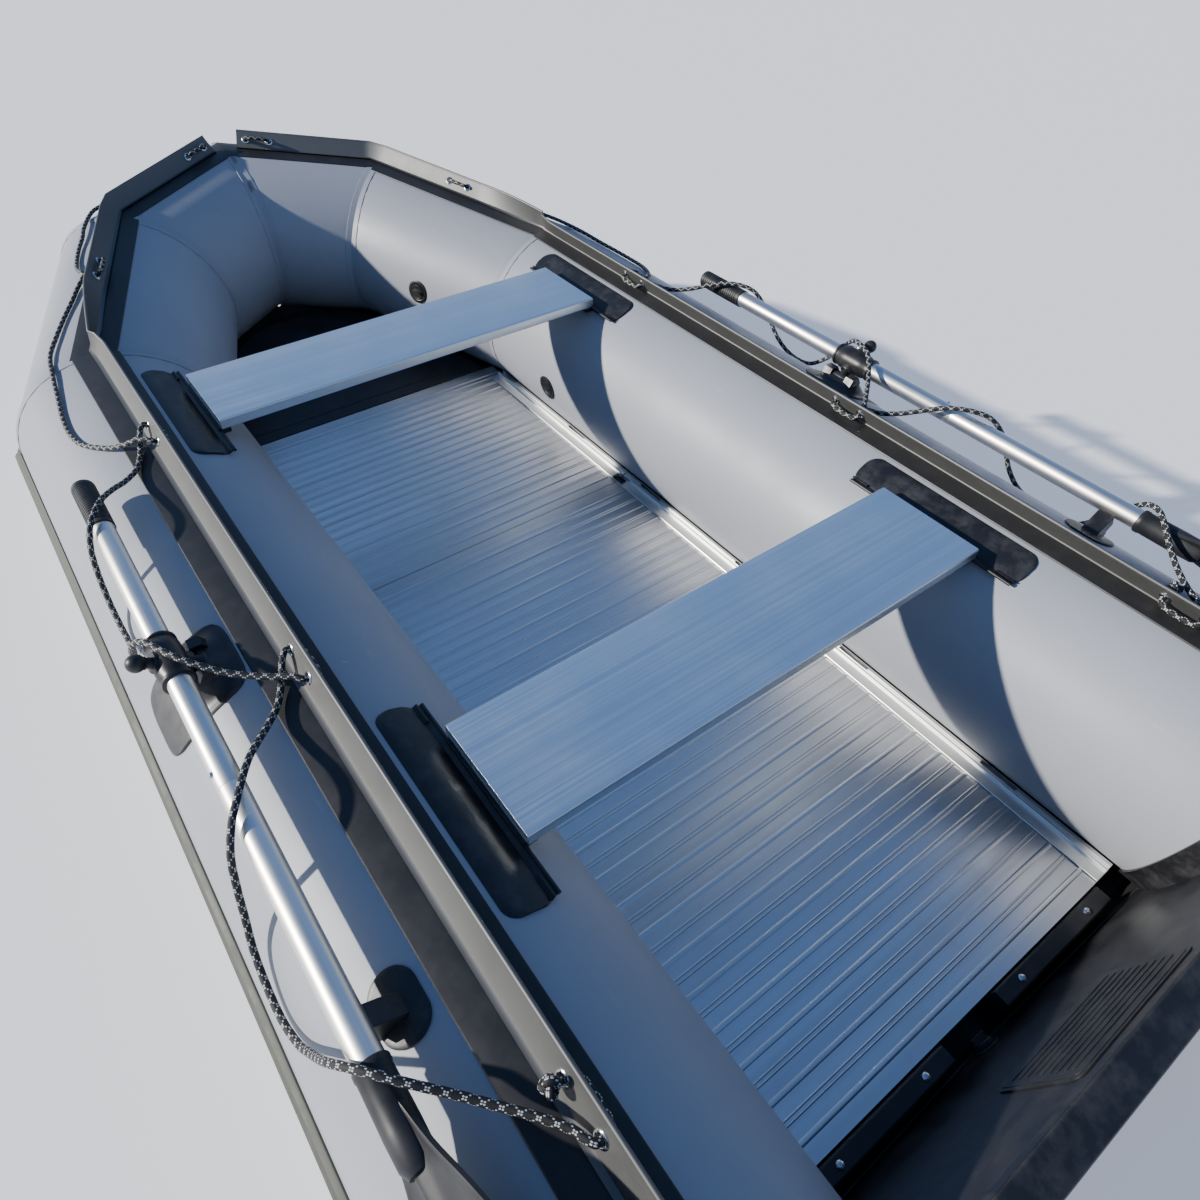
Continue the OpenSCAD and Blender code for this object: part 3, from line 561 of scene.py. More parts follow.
SEAT_ALLOY = drawn_alloy("seat alloy", (0.90, 0.97, 1.0), "Y", 0.36, 0.10)
OAR_ALLOY = drawn_alloy("oar alloy", (0.86, 0.845, 0.80), "X", 0.38, 0.05)
STRINGER_ALLOY = drawn_alloy("stringer alloy", (0.95, 0.95, 0.92), "X", 0.40)
PLATE_ALLOY = drawn_alloy("plate alloy", (0.56, 0.57, 0.58), "Y", 0.36)
FLOOR_ALLOY = worn_floor("floor alloy")
STEEL = polished_steel("polished steel")
ROPE = braided_rope("braided rope")
BOARD = woven_board("coated board", (0.012, 0.012, 0.014))


# ---- tubes ----

RING = 96
SEAM_HALF = 0.016
TAPE_T = 0.0009
PUCKER = 0.0007
PUCKERS = 34
PUCKER_REACH = 0.035
PANEL_INSET = 0.0002
FABRIC_T = 0.0015
TAIL_LENGTH = 0.25
VALVE_HOLE_R = 0.0255

# Valves: side, segment, distance along it, roll from the crown.
VALVES = [("port", 0, 0.338, -98), ("starboard", 0, 0.338, -98), ("starboard", 1, 0.285, -84)]


def panel_ring(i, share, r):
    """One ring of a tube panel; share runs from its first seam to its second."""
    ring = []
    for k in range(RING):
        roll = 360 * k / RING
        start, along, end = (along_segment(i, s, roll, r, CONE_X) for s in (0, share, 1))
        fade = math.exp(-min(abs(along - start), abs(end - along)) / PUCKER_REACH)
        swell = fade * PUCKER * (math.sin(math.radians(roll) * PUCKERS + 3 * i) - 1)
        ring.append(tube_at(i, along, roll, r + swell))
    return ring


def tube_panel(i, steps):
    """A panel of a tube, with rings closer together towards its seams."""
    rings = []
    for k in range(steps + 1):
        t = k / steps
        eased = t - 0.55 * math.sin(2 * math.pi * t) / (2 * math.pi)
        rings.append(panel_ring(i, eased, TUBE_R - PANEL_INSET))
    return Shape().loft(rings, caps=False)


def seam_tape(shape, i, plane, end):
    """Half a tape's width on segment i, forward (1) or back (-1) from the corner's plane."""
    rings = []
    for lift, reach in ((0, 1), (TAPE_T, 0.94), (TAPE_T, 0), (0, 0)):
        ring = []
        for k in range(RING):
            roll = 360 * k / RING
            r = TUBE_R + lift
            along = mitre_along(i, plane, roll, r) if plane else CONE_X
            ring.append(tube_at(i, along + end * SEAM_HALF * reach, roll, r))
        rings.append(ring)
    return shape.loft([*rings, rings[0]], caps=False)


def tail_profile():
    """The tail cone: (distance behind the tube's end, radius), to the cap's rim."""
    knots = [(0, 0.215), (0.06, 0.208), (0.12, 0.185), (0.18, 0.147), (0.225, 0.103),
             (TAIL_LENGTH, 0.08)]
    return smoothed_pairs(knots, 0.012)


def pierced(obj, tools):
    """Cuts holes through an object with throwaway solids."""
    for tool in tools:
        cut = obj.modifiers.new("hole", "BOOLEAN")
        cut.operation = "DIFFERENCE"
        cut.solver = "EXACT"
        cut.object = tool
    applied(obj)
    for tool in tools:
        bpy.data.objects.remove(tool)
    return obj


def applied(obj):
    """Turns an object with its modifiers into a plain mesh."""
    bpy.context.view_layer.update()
    graph = bpy.context.evaluated_depsgraph_get()
    mesh = bpy.data.meshes.new_from_object(obj.evaluated_get(graph))
    obj.modifiers.clear()
    obj.data = mesh
    return obj


def hole_tool(place, r, low, high, steps=48):
    """A throwaway cylinder for pierced."""
    return Shape().lathe(place, [(0, low), (r, low), (r, high), (0, high)], steps).piece(
        "hole", BLACK_PLASTIC, None, "black_plastic")


def with_wall(obj, thickness):
    """Gives a skin its thickness, inwards."""
    wall = obj.modifiers.new("fabric", "SOLIDIFY")
    wall.thickness = thickness
    wall.offset = -1
    return applied(obj)


def place_on_side(side, place):
    """A port frame, or its mirror image turned back into a frame."""
    return place if SIDES[side] > 0 else FLIP @ place @ FLIP


def valve_place(side, i, along, roll):
    return place_on_side(side, on_tube(i, along, roll))


def make_panel(side, i, label, steps):
    panel = tube_panel(i, steps).on_side(side).piece(
        f"{label}_{side}", TUBE_FABRIC, None, "tube_fabric")
    with_wall(panel, FABRIC_T)
    holes = [hole_tool(valve_place(*v), VALVE_HOLE_R, -0.05, 0.02)
             for v in VALVES if v[:2] == (side, i)]
    if holes:
        pierced(panel, holes)
    panel.data.set_sharp_from_angle(angle=math.radians(50))
    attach(panel, "hull")


def make_tail_cone(side):
    tail = [[tube_at(0, CONE_X - back, 360 * k / RING, r) for k in range(RING)]
            for back, r in tail_profile()]
    cone = Shape().loft(tail, caps=False).on_side(side).piece(
        f"tail_cone_{side}", TUBE_FABRIC, None, "tube_fabric")
    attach(with_wall(cone, FABRIC_T), "hull")


def make_tubes():
    for side in SIDES:
        make_panel(side, 0, "side_panel", 90)
        make_panel(side, 1, "shoulder_panel", 34)
        make_panel(side, 2, "nose_panel", 26)
        make_tail_cone(side)
    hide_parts("side_tube_port", "bow_shoulders")
    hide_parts("side_tube_starboard")
    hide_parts("bow_noses")
    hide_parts("tail_cones")

    tapes = Shape()
    for i, plane, end in ((0, 0, -1), (0, 1, -1), (1, 1, 1), (1, 2, -1), (2, 2, 1), (0, 0, 1)):
        seam_tape(tapes, i, plane, end)
    tapes.plus_mirrored().piece("seam_tapes", SEAM_TAPE, "hull", "tube_fabric", smooth=False)

    stem = seam_tape(Shape(), 2, 3, -1)
    stem.plus_mirrored().piece("stem_tape", SEAM_TAPE, "hull", "tube_fabric", smooth=False)


def make_tail_caps():
    """Moulded end caps: a flange on the cone, then a stepped, ribbed dome."""
    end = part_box("tail_end_caps")[0].x
    base = CONE_X - TAIL_LENGTH
    rise = base - end
    profile = [(0, -0.002), (0.082, -0.002), (0.083, 0.0015), (0.0805, 0.006), (0.072, 0.008),
               (0.069, 0.012), (0.068, rise - 0.013), (0.060, rise - 0.005), (0.046, rise - 0.001),
               (0.030, rise), (0.026, rise - 0.0015), (0, rise - 0.0015)]
    caps = Shape()
    at = tube_at(0, base, 0, 0)
    turned = Matrix.Translation(at) @ Matrix.Rotation(math.radians(-90), 4, "Y")
    caps.lathe(turned, profile, 72)
    for k in range(24):
        spin = turned @ Matrix.Rotation(2 * math.pi * k / 24, 4, "Z")
        caps.box(spin, (0.066, -0.0016, 0.008), (0.0705, 0.0016, rise - 0.012))
    caps.plus_mirrored().piece("tail_cap_mouldings", PATCH_RUBBER, "hull", "patch_rubber",
                               ["tail_end_caps"], smooth=False)


# ---- rubbing strake ----

STRAKE_HALF = 0.031
STRAKE_T = 0.0155


def drawn_along(section, first, counts):
    """Draws a section, (roll, height over the tube) pairs, along all three segments."""
    shape = Shape()
    for i, steps in enumerate(counts):
        rings = []
        for k in range(steps + 1):
            ring = []
            for roll, t in section:
                r = TUBE_R + t
                ring.append(tube_at(i, along_segment(i, k / steps, roll, r, first), roll, r))
            rings.append(ring)
        shape.loft(rings)
    return shape.plus_mirrored()


def strake_profile():
    """(height along the tube's side, thickness): a D section with three ridges."""
    points = [(-STRAKE_HALF, 0.0002), (-STRAKE_HALF, 0.0022), (-0.0265, 0.0045)]
    for k in range(19):
        h = -0.024 + 0.048 * k / 18
        dome = math.sqrt(max(0, 1 - (h / 0.0285) ** 2))
        ridge = 0.0011 * math.cos(h / 0.048 * 6 * math.pi)
        points.append((h, 0.0045 + (STRAKE_T - 0.0056) * dome + ridge))
    points += [(0.0265, 0.0045), (STRAKE_HALF, 0.0022), (STRAKE_HALF, 0.0002)]
    return points


def make_strake():
    section = [(90 - math.degrees(h / TUBE_R), t) for h, t in strake_profile()]
    drawn_along(section, CONE_X, (40, 12, 8)).piece(
        "strake_profile", STRAKE_RUBBER, "hull", "strake_rubber", ["rub_strake"], smooth=False)


# ---- rope flange ----

FIN_T = 0.004
RIM_R = 0.003
STRIP_HALF = 0.046
STRIP_T = 0.0024
EYELET_HOLE_R = 0.0068


def flange_stations():
    """Places along the three segments, closer together where the flange turns over."""
    stations = [(0, FIN_START + k * 0.03) for k in range(int((FIN_BEND - FIN_START) / 0.03))]
    stations += [(0, FIN_BEND - 0.02 + 0.0125 * k) for k in range(6)]
    stations += [(1, 0.022 + 0.0187 * k) for k in range(31)]
    return stations + [(2, 0.025 + 0.018 * k) for k in range(21)]


def make_flanges():
    half = FIN_T / 2
    rim = arc(FIN_H - RIM_R, 0, RIM_R, -130, 130, 12)
    near = [(0.0016, -0.0085), (0.0032, -0.0048), (0.0062, -half), (FIN_H - 0.0058, -half)]
    section = near + rim + [(h, -n) for h, n in reversed(near)]
    rings = [[fin_at(i, along, h, n) for h, n in section] for i, along in flange_stations()]
    for side in SIDES:
        web = Shape().loft(rings).on_side(side).piece(
            f"flange_web_{side}", FLANGE_WEB, None, "flange_rubber")
        pierced(web, [hole_tool(place, EYELET_HOLE_R, -0.01, 0.01, 24)
                      for place in eyelet_places(side)])
        web.data.set_sharp_from_angle(angle=math.radians(40))
        settled(web, "hull", [f"rope_flange_{side}"])

    edge = [(0.965, STRIP_T), (1, 0.0009), (1, 0.0002)]
    width = [(-share, t) for share, t in reversed(edge)]
    width += [(w / 8, STRIP_T) for w in range(-7, 8)] + edge
    strip = [(math.degrees(share * STRIP_HALF / TUBE_R), t) for share, t in width]
    drawn_along(strip, FIN_START, (60, 16, 10)).piece(
        "flange_base_strips", FLANGE_RUBBER, "hull", "flange_rubber", smooth=False)


def eyelet_places(side):
    return [eyelet_frame(i, middle + end * EYELET_GAP / 2, side)
            for i, middle in PAIRS for end in (-1, 1)]


def eyelet_frame(i, along, side="port"):
    """Frame of an eyelet: Z points out of the flange, X up it."""
    at = fin_at(i, along, EYELET_H, 0)
    z = radial(i, lean(i, along) + 90)
    x = radial(i, lean(i, along))
    if SIDES[side] < 0:
        at, x, z = (Vector((v.x, -v.y, v.z)) for v in (at, x, z))
    return framed(at, x, z)


# ---- repeated shapes, by geometry nodes ----


class Tree:
    """A geometry node tree with named inputs, run once on an object."""

    def __init__(self, name, **inputs):
        self.group = bpy.data.node_groups.new(name, "GeometryNodeTree")
        face = self.group.interface
        face.new_socket("Geometry", in_out="INPUT", socket_type="NodeSocketGeometry")
        face.new_socket("Geometry", in_out="OUTPUT", socket_type="NodeSocketGeometry")
        kinds = {float: "NodeSocketFloat", int: "NodeSocketInt",
                 bpy.types.Material: "NodeSocketMaterial", bpy.types.Object: "NodeSocketObject"}
        self.values = {}
        for label, value in inputs.items():
            socket = face.new_socket(label.replace("_", " "), in_out="INPUT",
                                     socket_type=kinds[type(value)])
            self.values[socket.identifier] = value
        self.start = self.group.nodes.new("NodeGroupInput")
        self.end = self.group.nodes.new("NodeGroupOutput")

    def input(self, label):
        return self.start.outputs[label]

    def node(self, kind, settings=None, **sockets):
        return add_node(self.group, kind, settings, sockets).outputs

    def run(self, obj, geometry, finish):
        real = self.node("GeometryNodeRealizeInstances", Geometry=geometry)[0]
        painted = self.node("GeometryNodeSetMaterial", Geometry=real, Material=finish)[0]
        self.group.links.new(painted, self.end.inputs["Geometry"])
        modifier = obj.modifiers.new("repeats", "NODES")
        modifier.node_group = self.group
        for identifier, value in self.values.items():
            modifier[identifier] = value
        return applied(obj)


def marker(name, places):
    """An object of loose points, each with the direction that its repeat faces."""
    mesh = bpy.data.meshes.new(name)
    mesh.from_pydata([p.translation for p in places], [], [])
    for label, column in (("facing", 2), ("heading", 0)):
        axis = mesh.attributes.new(label, "FLOAT_VECTOR", "POINT")
        axis.data.foreach_set("vector", [x for p in places for x in p.col[column].to_3d()])
    obj = bpy.data.objects.new(name, mesh)
    bpy.context.scene.collection.objects.link(obj)
    return obj


def repeats(name, places, unit, finish, body, slot, replaces=()):
    """Copies of one small solid, a Shape about its own origin, one at each place."""
    master = unit.piece(name + "_unit", finish, None, slot)
    tree = Tree(name, Unit=master, Size=1.0, Finish=finish)
    turn = None
    for label, axis, pivot in (("facing", "Z", "AUTO"), ("heading", "X", "Z")):
        vector = tree.node("GeometryNodeInputNamedAttribute", {"data_type": "FLOAT_VECTOR"},
                           Name=label)["Attribute"]
        turn = tree.node("FunctionNodeAlignRotationToVector", {"axis": axis, "pivot_axis": pivot},
                         Vector=vector, **({"Rotation": turn} if turn else {}))["Rotation"]
    solid = tree.node("GeometryNodeObjectInfo", Object=tree.input("Unit"))["Geometry"]
    copies = tree.node("GeometryNodeInstanceOnPoints", Points=tree.input("Geometry"),
                       Instance=solid, Rotation=turn, Scale=tree.input("Size"))["Instances"]
    obj = tree.run(marker(name, places), copies, tree.input("Finish"))
    bpy.data.objects.remove(master)
    obj.data.set_sharp_from_angle(angle=SMOOTH_ANGLE)
    return settled(obj, body, replaces)


# ---- eyelets and lifelines ----

ROPE_R = 0.0046
YARN_RISE = 0.00022
KNOT_LIFT = 0.012
KNOT_SIZE = 0.0031


def make_eyelets():
    places = [place for side in SIDES for place in eyelet_places(side)]
    rolled = [(0.0058, -0.0022), (0.0062, -0.0033), (0.0072, -0.0040), (0.0086, -0.0038),
              (0.0099, -0.0028), (0.0100, -0.0021), (0.0066, -0.0020), (0.0066, 0.0020),
              (0.0100, 0.0021), (0.0099, 0.0028), (0.0086, 0.0038), (0.0072, 0.0040),
              (0.0062, 0.0033), (0.0058, 0.0022)]
    unit = Shape().lathe(Matrix(), [*rolled, rolled[0]], 32, caps=False)
    repeats("eyelet_rims", places, unit, STEEL, "hull", "stainless", ["eyelets"])


# Routes between the eyelets. Along the sides the points are (x, y, z); round the
# bow they are (segment, distance along it, roll from the crown, height above it).
SWAG_SIDE = [
    (0.268, 0.574, 0.454), (0.245, 0.585, 0.44), (0.218, 0.594, 0.437), (0.186, 0.609, 0.436),
    (0.15, 0.634, 0.444), (0.11, 0.66, 0.462), (0.075, 0.68, 0.475), (0.045, 0.697, 0.478),
    (0.018, 0.714, 0.47), (-0.005, 0.727, 0.446), (-0.027, 0.734, 0.414), (-0.054, 0.738, 0.382),
    (-0.09, 0.739, 0.362), (-0.13, 0.738, 0.357), (-0.165, 0.737, 0.365), (-0.196, 0.737, 0.388),
    (-0.222, 0.737, 0.415), (-0.245, 0.733, 0.444), (-0.264, 0.726, 0.467), (-0.286, 0.714, 0.481),
    (-0.312, 0.703, 0.484), (-0.338, 0.689, 0.483), (-0.362, 0.668, 0.474), (-0.386, 0.642, 0.464),
    (-0.408, 0.614, 0.459), (-0.426, 0.59, 0.458), (-0.438, 0.573, 0.459),
]
SWAG_AFT = [
    (-0.398, 0.573, 0.453), (-0.413, 0.582, 0.444), (-0.432, 0.592, 0.44), (-0.455, 0.606, 0.438),
    (-0.482, 0.628, 0.443), (-0.51, 0.648, 0.456), (-0.538, 0.666, 0.47), (-0.566, 0.682, 0.478),
    (-0.592, 0.698, 0.479), (-0.616, 0.715, 0.472), (-0.638, 0.731, 0.448), (-0.656, 0.741, 0.412),
    (-0.674, 0.749, 0.374), (-0.7, 0.757, 0.344), (-0.74, 0.761, 0.328), (-0.785, 0.761, 0.325),
    (-0.825, 0.755, 0.34), (-0.856, 0.746, 0.374), (-0.882, 0.738, 0.412), (-0.904, 0.73, 0.447),
    (-0.926, 0.717, 0.471), (-0.948, 0.7, 0.479), (-0.972, 0.678, 0.474), (-1, 0.65, 0.464),
    (-1.03, 0.622, 0.457), (-1.06, 0.596, 0.455), (-1.088, 0.575, 0.456),
]
SWAG_BOW = [
    (1, 0.337, 7, 0.02), (1, 0.318, 12, 0.012), (1, 0.285, 16, 0.0065), (1, 0.235, 18, 0.006),
    (1, 0.175, 21, 0.006), (1, 0.11, 23, 0.007), (1, 0.04, 24, 0.0075), (0, 0.62, 24.5, 0.0075),
    (0, 0.545, 27.5, 0.006), (0, 0.48, 30, 0.006), (0, 0.42, 30.5, 0.006), (0, 0.365, 28, 0.006),
    (0, 0.32, 22, 0.006), (0, 0.285, 15.5, 0.008), (0, 0.258, 9, 0.018), (0, 0.24, 4, 0.028),
]
SWAG_NOSE = [
    (2, 0.285, 8, 0.02), (2, 0.255, 14, 0.009), (2, 0.2, 19, 0.006), (2, 0.13, 21, 0.007),
    (2, 0.06, 21, 0.009), (2, 0.012, 21, 0.011), (1, 0.565, 21, 0.01), (1, 0.52, 21, 0.008),
    (1, 0.47, 22, 0.007), (1, 0.4, 21, 0.007),
    (1, 0.35, 17, 0.013), (1, 0.312, 12, 0.024), (1, 0.297, 10, 0.027),
]


def from_tube(route):
    return [tube_at(i, along, roll, TUBE_R + h) for i, along, roll, h in route]


def through_pair(i, middle, s):
    """In at the eyelet on side s (1 forward), behind the flange, out at the other."""
    a, b = middle + s * EYELET_GAP / 2, middle - s * EYELET_GAP / 2
    steps = [(a, 0.009), (a, 0), (a, -0.008), (a - 0.004 * s, -0.014), (a - 0.014 * s, -0.017),
             (b + 0.014 * s, -0.017), (b + 0.004 * s, -0.014), (b, -0.008), (b, 0), (b, 0.009)]
    return [fin_at(i, along, EYELET_H, n) for along, n in steps]


def lifeline_route():
    nose, shoulder, front, middle, rear = PAIRS
    first = fin_at(nose[0], nose[1] + EYELET_GAP / 2, EYELET_H, KNOT_LIFT)
    last = fin_at(rear[0], rear[1] + EYELET_GAP / 2, EYELET_H, KNOT_LIFT)
    return [first, *through_pair(*nose, 1), *from_tube(SWAG_NOSE), *through_pair(*shoulder, -1),
            *from_tube(SWAG_BOW), *through_pair(*front, -1), *SWAG_SIDE,
            *through_pair(*middle, -1), *SWAG_AFT, *through_pair(*rear, -1), last]


def braid(run, turn):
    """The rope's radius: crossing yarns stand a little proud."""
    yarns = BRAID_YARNS / 2
    left = math.sin(yarns * turn + 2 * math.pi * run * yarns / BRAID_PITCH)
    right = math.sin(yarns * turn - 2 * math.pi * run * yarns / BRAID_PITCH)
    return ROPE_R + YARN_RISE * max(left, right) - 0.0001


def knot_line(at, out, along, size):
    """A tight overhand knot's centreline, standing on the flange."""
    side = out.cross(along).normalized()
    line = []
    for k in range(61):
        t = 2 * math.pi * k / 60
        x = math.sin(t) + 1.7 * math.sin(2 * t)
        y = math.cos(t) - 1.7 * math.cos(2 * t)
        z = -math.sin(3 * t)
        line.append(at + (along * x + side * y) * size + out * (z * size * 1.5))
    return line[2:-1]


def make_lifelines():
    line = smoothed(lifeline_route(), 0.0018)
    for side in SIDES:
        rope = hose(Shape(), line, braid, 24).on_side(side).piece(
            f"rope_{side}", ROPE, None, "rope")
        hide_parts(f"lifeline_{side}")
        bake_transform(rope)
        knots = Shape()
        for i, middle in (PAIRS[0], PAIRS[-1]):
            along = middle + EYELET_GAP / 2
            out = radial(i, lean(i, along) + 90)
            centre = fin_at(i, along, EYELET_H, 0.0175)
            hose(knots, knot_line(centre, out, DIR[i], KNOT_SIZE), braid, 12)
        knots.on_side(side).piece(f"rope_knots_{side}", ROPE, "hull", "rope")


# ---- sections drawn along an axis ----

# An outline's X and Y lie along X and Z, drawn across the boat, or along Y and Z,
# drawn along it.
ACROSS = Matrix(((1, 0, 0, 0), (0, 0, -1, 0), (0, 1, 0, 0), (0, 0, 0, 1)))
ALONG = Matrix(((0, 0, 1, 0), (1, 0, 0, 0), (0, 1, 0, 0), (0, 0, 0, 1)))


def extruded(shape, place, loops, low, high):
    """A bar with hollow cells: loops are its outline and then its cells' outlines."""
    rows = [[place @ Vector((x, y, z)) for z in (low, high) for x, y in loop] for loop in loops]
    for row, loop in zip(rows, loops):
        n = len(loop)
        shape.add(row, [(k, (k + 1) % n, n + (k + 1) % n, n + k) for k in range(n)])
    flat = [[Vector((x, y, 0)) for x, y in loop] for loop in loops]
    triangles = tessellate_polygon(flat)
    for z in (low, high):
        points = [place @ Vector((p.x, p.y, z)) for loop in flat for p in loop]
        shape.add(points, triangles)
    return shape


def shifted(outline, x, y):
    return [(a + x, b + y) for a, b in outline]


# ---- seats ----

SEAT_Z = 0.430
SEAT_T = 0.022
SEAT_WALL = 0.002
RAIL_HALF = 0.175
RAIL_T = 0.0042
BEAD = (0.441, 0.402)


def make_seats():
    for label in ("front", "rear"):
        low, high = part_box(f"{label}_seat")
        x, width, half = (low.x + high.x) / 2, high.x - low.x, high.y
        cell = (width - 4 * SEAT_WALL) / 3
        z = SEAT_Z - SEAT_T / 2
        loops = [shifted(round_rect(width, SEAT_T, 0.0032), x, z)]
        for k in (-1, 0, 1):
            loops.append(shifted(round_rect(cell, SEAT_T - 2 * SEAT_WALL, 0.002, 3),
                                 x + k * (cell + SEAT_WALL), z))
        extruded(Shape(), ACROSS, loops, -half, half).piece(
            f"{label}_bench", SEAT_ALLOY, f"{label}_seat", "seat_alloy", [f"{label}_seat"],
            bevel=0.0005)
        slide = [(0.4445, 0.408), (0.422, 0.408), (0.422, 0.3972), (0.4236, 0.3956),
                 (0.4429, 0.3956), (0.4445, 0.3972), (0.4445, 0.4004), (0.4441, 0.4004)]
        slide += arc(*BEAD, 0.0035, 332, 28, 18) + [(0.4445, 0.4036)]
        runner = Shape()
        runner.prism(ALONG, slide, x - width / 2 + 0.006, x + width / 2 - 0.006)
        for k in range(5):
            runner.box(Matrix(), (x - 0.083 + k * 0.038, 0.4195, 0.3975),
                       (x - 0.069 + k * 0.038, 0.4222, 0.4065))
        runner.plus_mirrored().piece(f"{label}_slide", BLACK_PLASTIC, f"{label}_seat",
                                     "black_plastic", [f"{label}_seat_slides"], bevel=0.0004)


def rail_section(inner, outer):
    """Across a rail's pad: a thin edge, then full thickness, from inner to outer roll."""
    top = [(0, 0.0006), (0.05, 0.003), (0.16, RAIL_T)]
    top += [(k / 10, RAIL_T) for k in range(3, 9)] + [(0.93, 0.0028), (1, 0.0006)]
    loop = [(inner + (outer - inner) * s, TUBE_R + t) for s, t in top]
    return loop + [(outer, TUBE_R - 0.0004), ((inner + outer) / 2, TUBE_R - 0.0004),
                   (inner, TUBE_R - 0.0004)]


def make_rails():
    for label in ("front", "rear"):
        low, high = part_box(f"seat_rails_{label}")
        x = (low.x + high.x) / 2
        shape = Shape()
        rings = []
        for k in range(49):
            t = -math.cos(math.pi * k / 48)
            run = RAIL_HALF * t
            left = RAIL_HALF - abs(run)
            pull = 0.020 - math.sqrt(max(0, 0.0004 - max(0, 0.020 - left) ** 2))
            inner = math.degrees(math.asin((0.447 + pull - AXIS_Y) / TUBE_R))
            outer = math.degrees(math.asin((0.512 - pull - AXIS_Y) / TUBE_R))
            rings.append([tube_at(0, x + run, roll, r) for roll, r in rail_section(inner, outer)])
        shape.loft(rings)
        lip = [(0.4560, 0.4010), (0.4505, 0.4022), (0.4440, 0.4030),
               *arc(*BEAD, 0.003, 35, 325, 14),
               (0.4440, 0.4010), (0.4500, 0.3990), (0.4535, 0.3965)]
        shape.prism(ALONG, lip, x - RAIL_HALF + 0.006, x + RAIL_HALF - 0.006)
        for end in (-1, 1):
            tab = [(0.4565, 0.4015), (0.4490, 0.4062), (0.4468, 0.4052), (0.4520, 0.3985)]
            a = x + end * (RAIL_HALF - 0.004)
            shape.prism(ALONG, tab, min(a, a - end * 0.034), max(a, a - end * 0.034))
        shape.plus_mirrored().piece(f"{label}_rails", PATCH_RUBBER, "hull", "patch_rubber",
                                    [f"seat_rails_{label}"], smooth=False)


# ---- floor ----

FLOOR_Z = 0.073
SHEET_T = 0.0026
RIB_H = 0.0014
RIB_PITCH = 0.028
WEB_PITCH = 0.102
BAND = 0.036


def rib(shape, x, width, height, half):
    """A low rounded rib across the boat."""
    points = [(x + width * (k / 8 - 0.5), height * math.sin(math.pi * k / 8) ** 0.7 + 0.0002)
              for k in range(9)]
    outline = [(x - width / 2, -0.0004), *points, (x + width / 2, -0.0004)]
    return shape.prism(ACROSS, outline[::-1], -half, half)


def make_floor():
    """Three panels: a flat band along each front edge, then ribs, and webs below."""
    wide, double = [], []
    base = FLOOR_Z - RIB_H
    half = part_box("floor_panel_rear")[1].y
    for label in ("front", "middle", "rear"):
        low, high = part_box(f"floor_panel_{label}")
        front, back = high.x, low.x
        outline = [(front - 0.0008, FLOOR_Z), (front - BAND + 0.0008, FLOOR_Z),
                   (front - BAND - 0.0006, base), (back, base), (back, base - SHEET_T),
                   (front, base - SHEET_T), (front, FLOOR_Z - 0.0008)]
        sheet = Shape().prism(ACROSS, outline[::-1], -half, half)
        edge = front - 0.012
        while edge > back + 0.008:
            web = [(edge - 0.0025, low.z), (edge, low.z), (edge, base - 0.002),
                   (edge - 0.0025, base - 0.002)]
            sheet.prism(ACROSS, web, -half, half)
            edge -= WEB_PITCH
        sheet.piece(f"floor_{label}", FLOOR_ALLOY, "hull", "floor_alloy",
                    [f"floor_panel_{label}"], smooth=False)
        count = int((front - back - BAND - 0.010) / RIB_PITCH)
        for k in range(count):
            at = Matrix.Translation((front - BAND - (k + 0.5) * RIB_PITCH, 0, base))
            (wide, double)[k % 2].append(at)
    broad = rib(Shape(), 0, 0.009, RIB_H, half)
    repeats("floor_ribs_wide", wide, broad, FLOOR_ALLOY, "hull", "floor_alloy")
    pair = rib(rib(Shape(), -0.0032, 0.0034, 0.0011, half), 0.0032, 0.0034, 0.0011, half)
    repeats("floor_ribs_double", double, pair, FLOOR_ALLOY, "hull", "floor_alloy")


# Across the port stringer: a lip on the floor, a step, and a channel that rests on the tube.
STRINGER = [
    (0.3512, 0.0735), (0.3510, 0.0748), (0.3518, 0.0758), (0.3700, 0.0760), (0.3722, 0.0768),
    (0.3728, 0.0836), (0.3738, 0.0845), (0.3775, 0.0845), (0.3780, 0.0838), (0.3788, 0.0838),
    (0.3793, 0.0845), (0.3818, 0.0845), (0.3823, 0.0838), (0.3831, 0.0838), (0.3836, 0.0845),
    (0.3908, 0.0845), (0.3918, 0.0838), (0.3920, 0.0480), (0.3600, 0.0480), (0.3600, 0.0506),
    (0.3895, 0.0506), (0.3895, 0.0820), (0.3750, 0.0820), (0.3748, 0.0735),
]


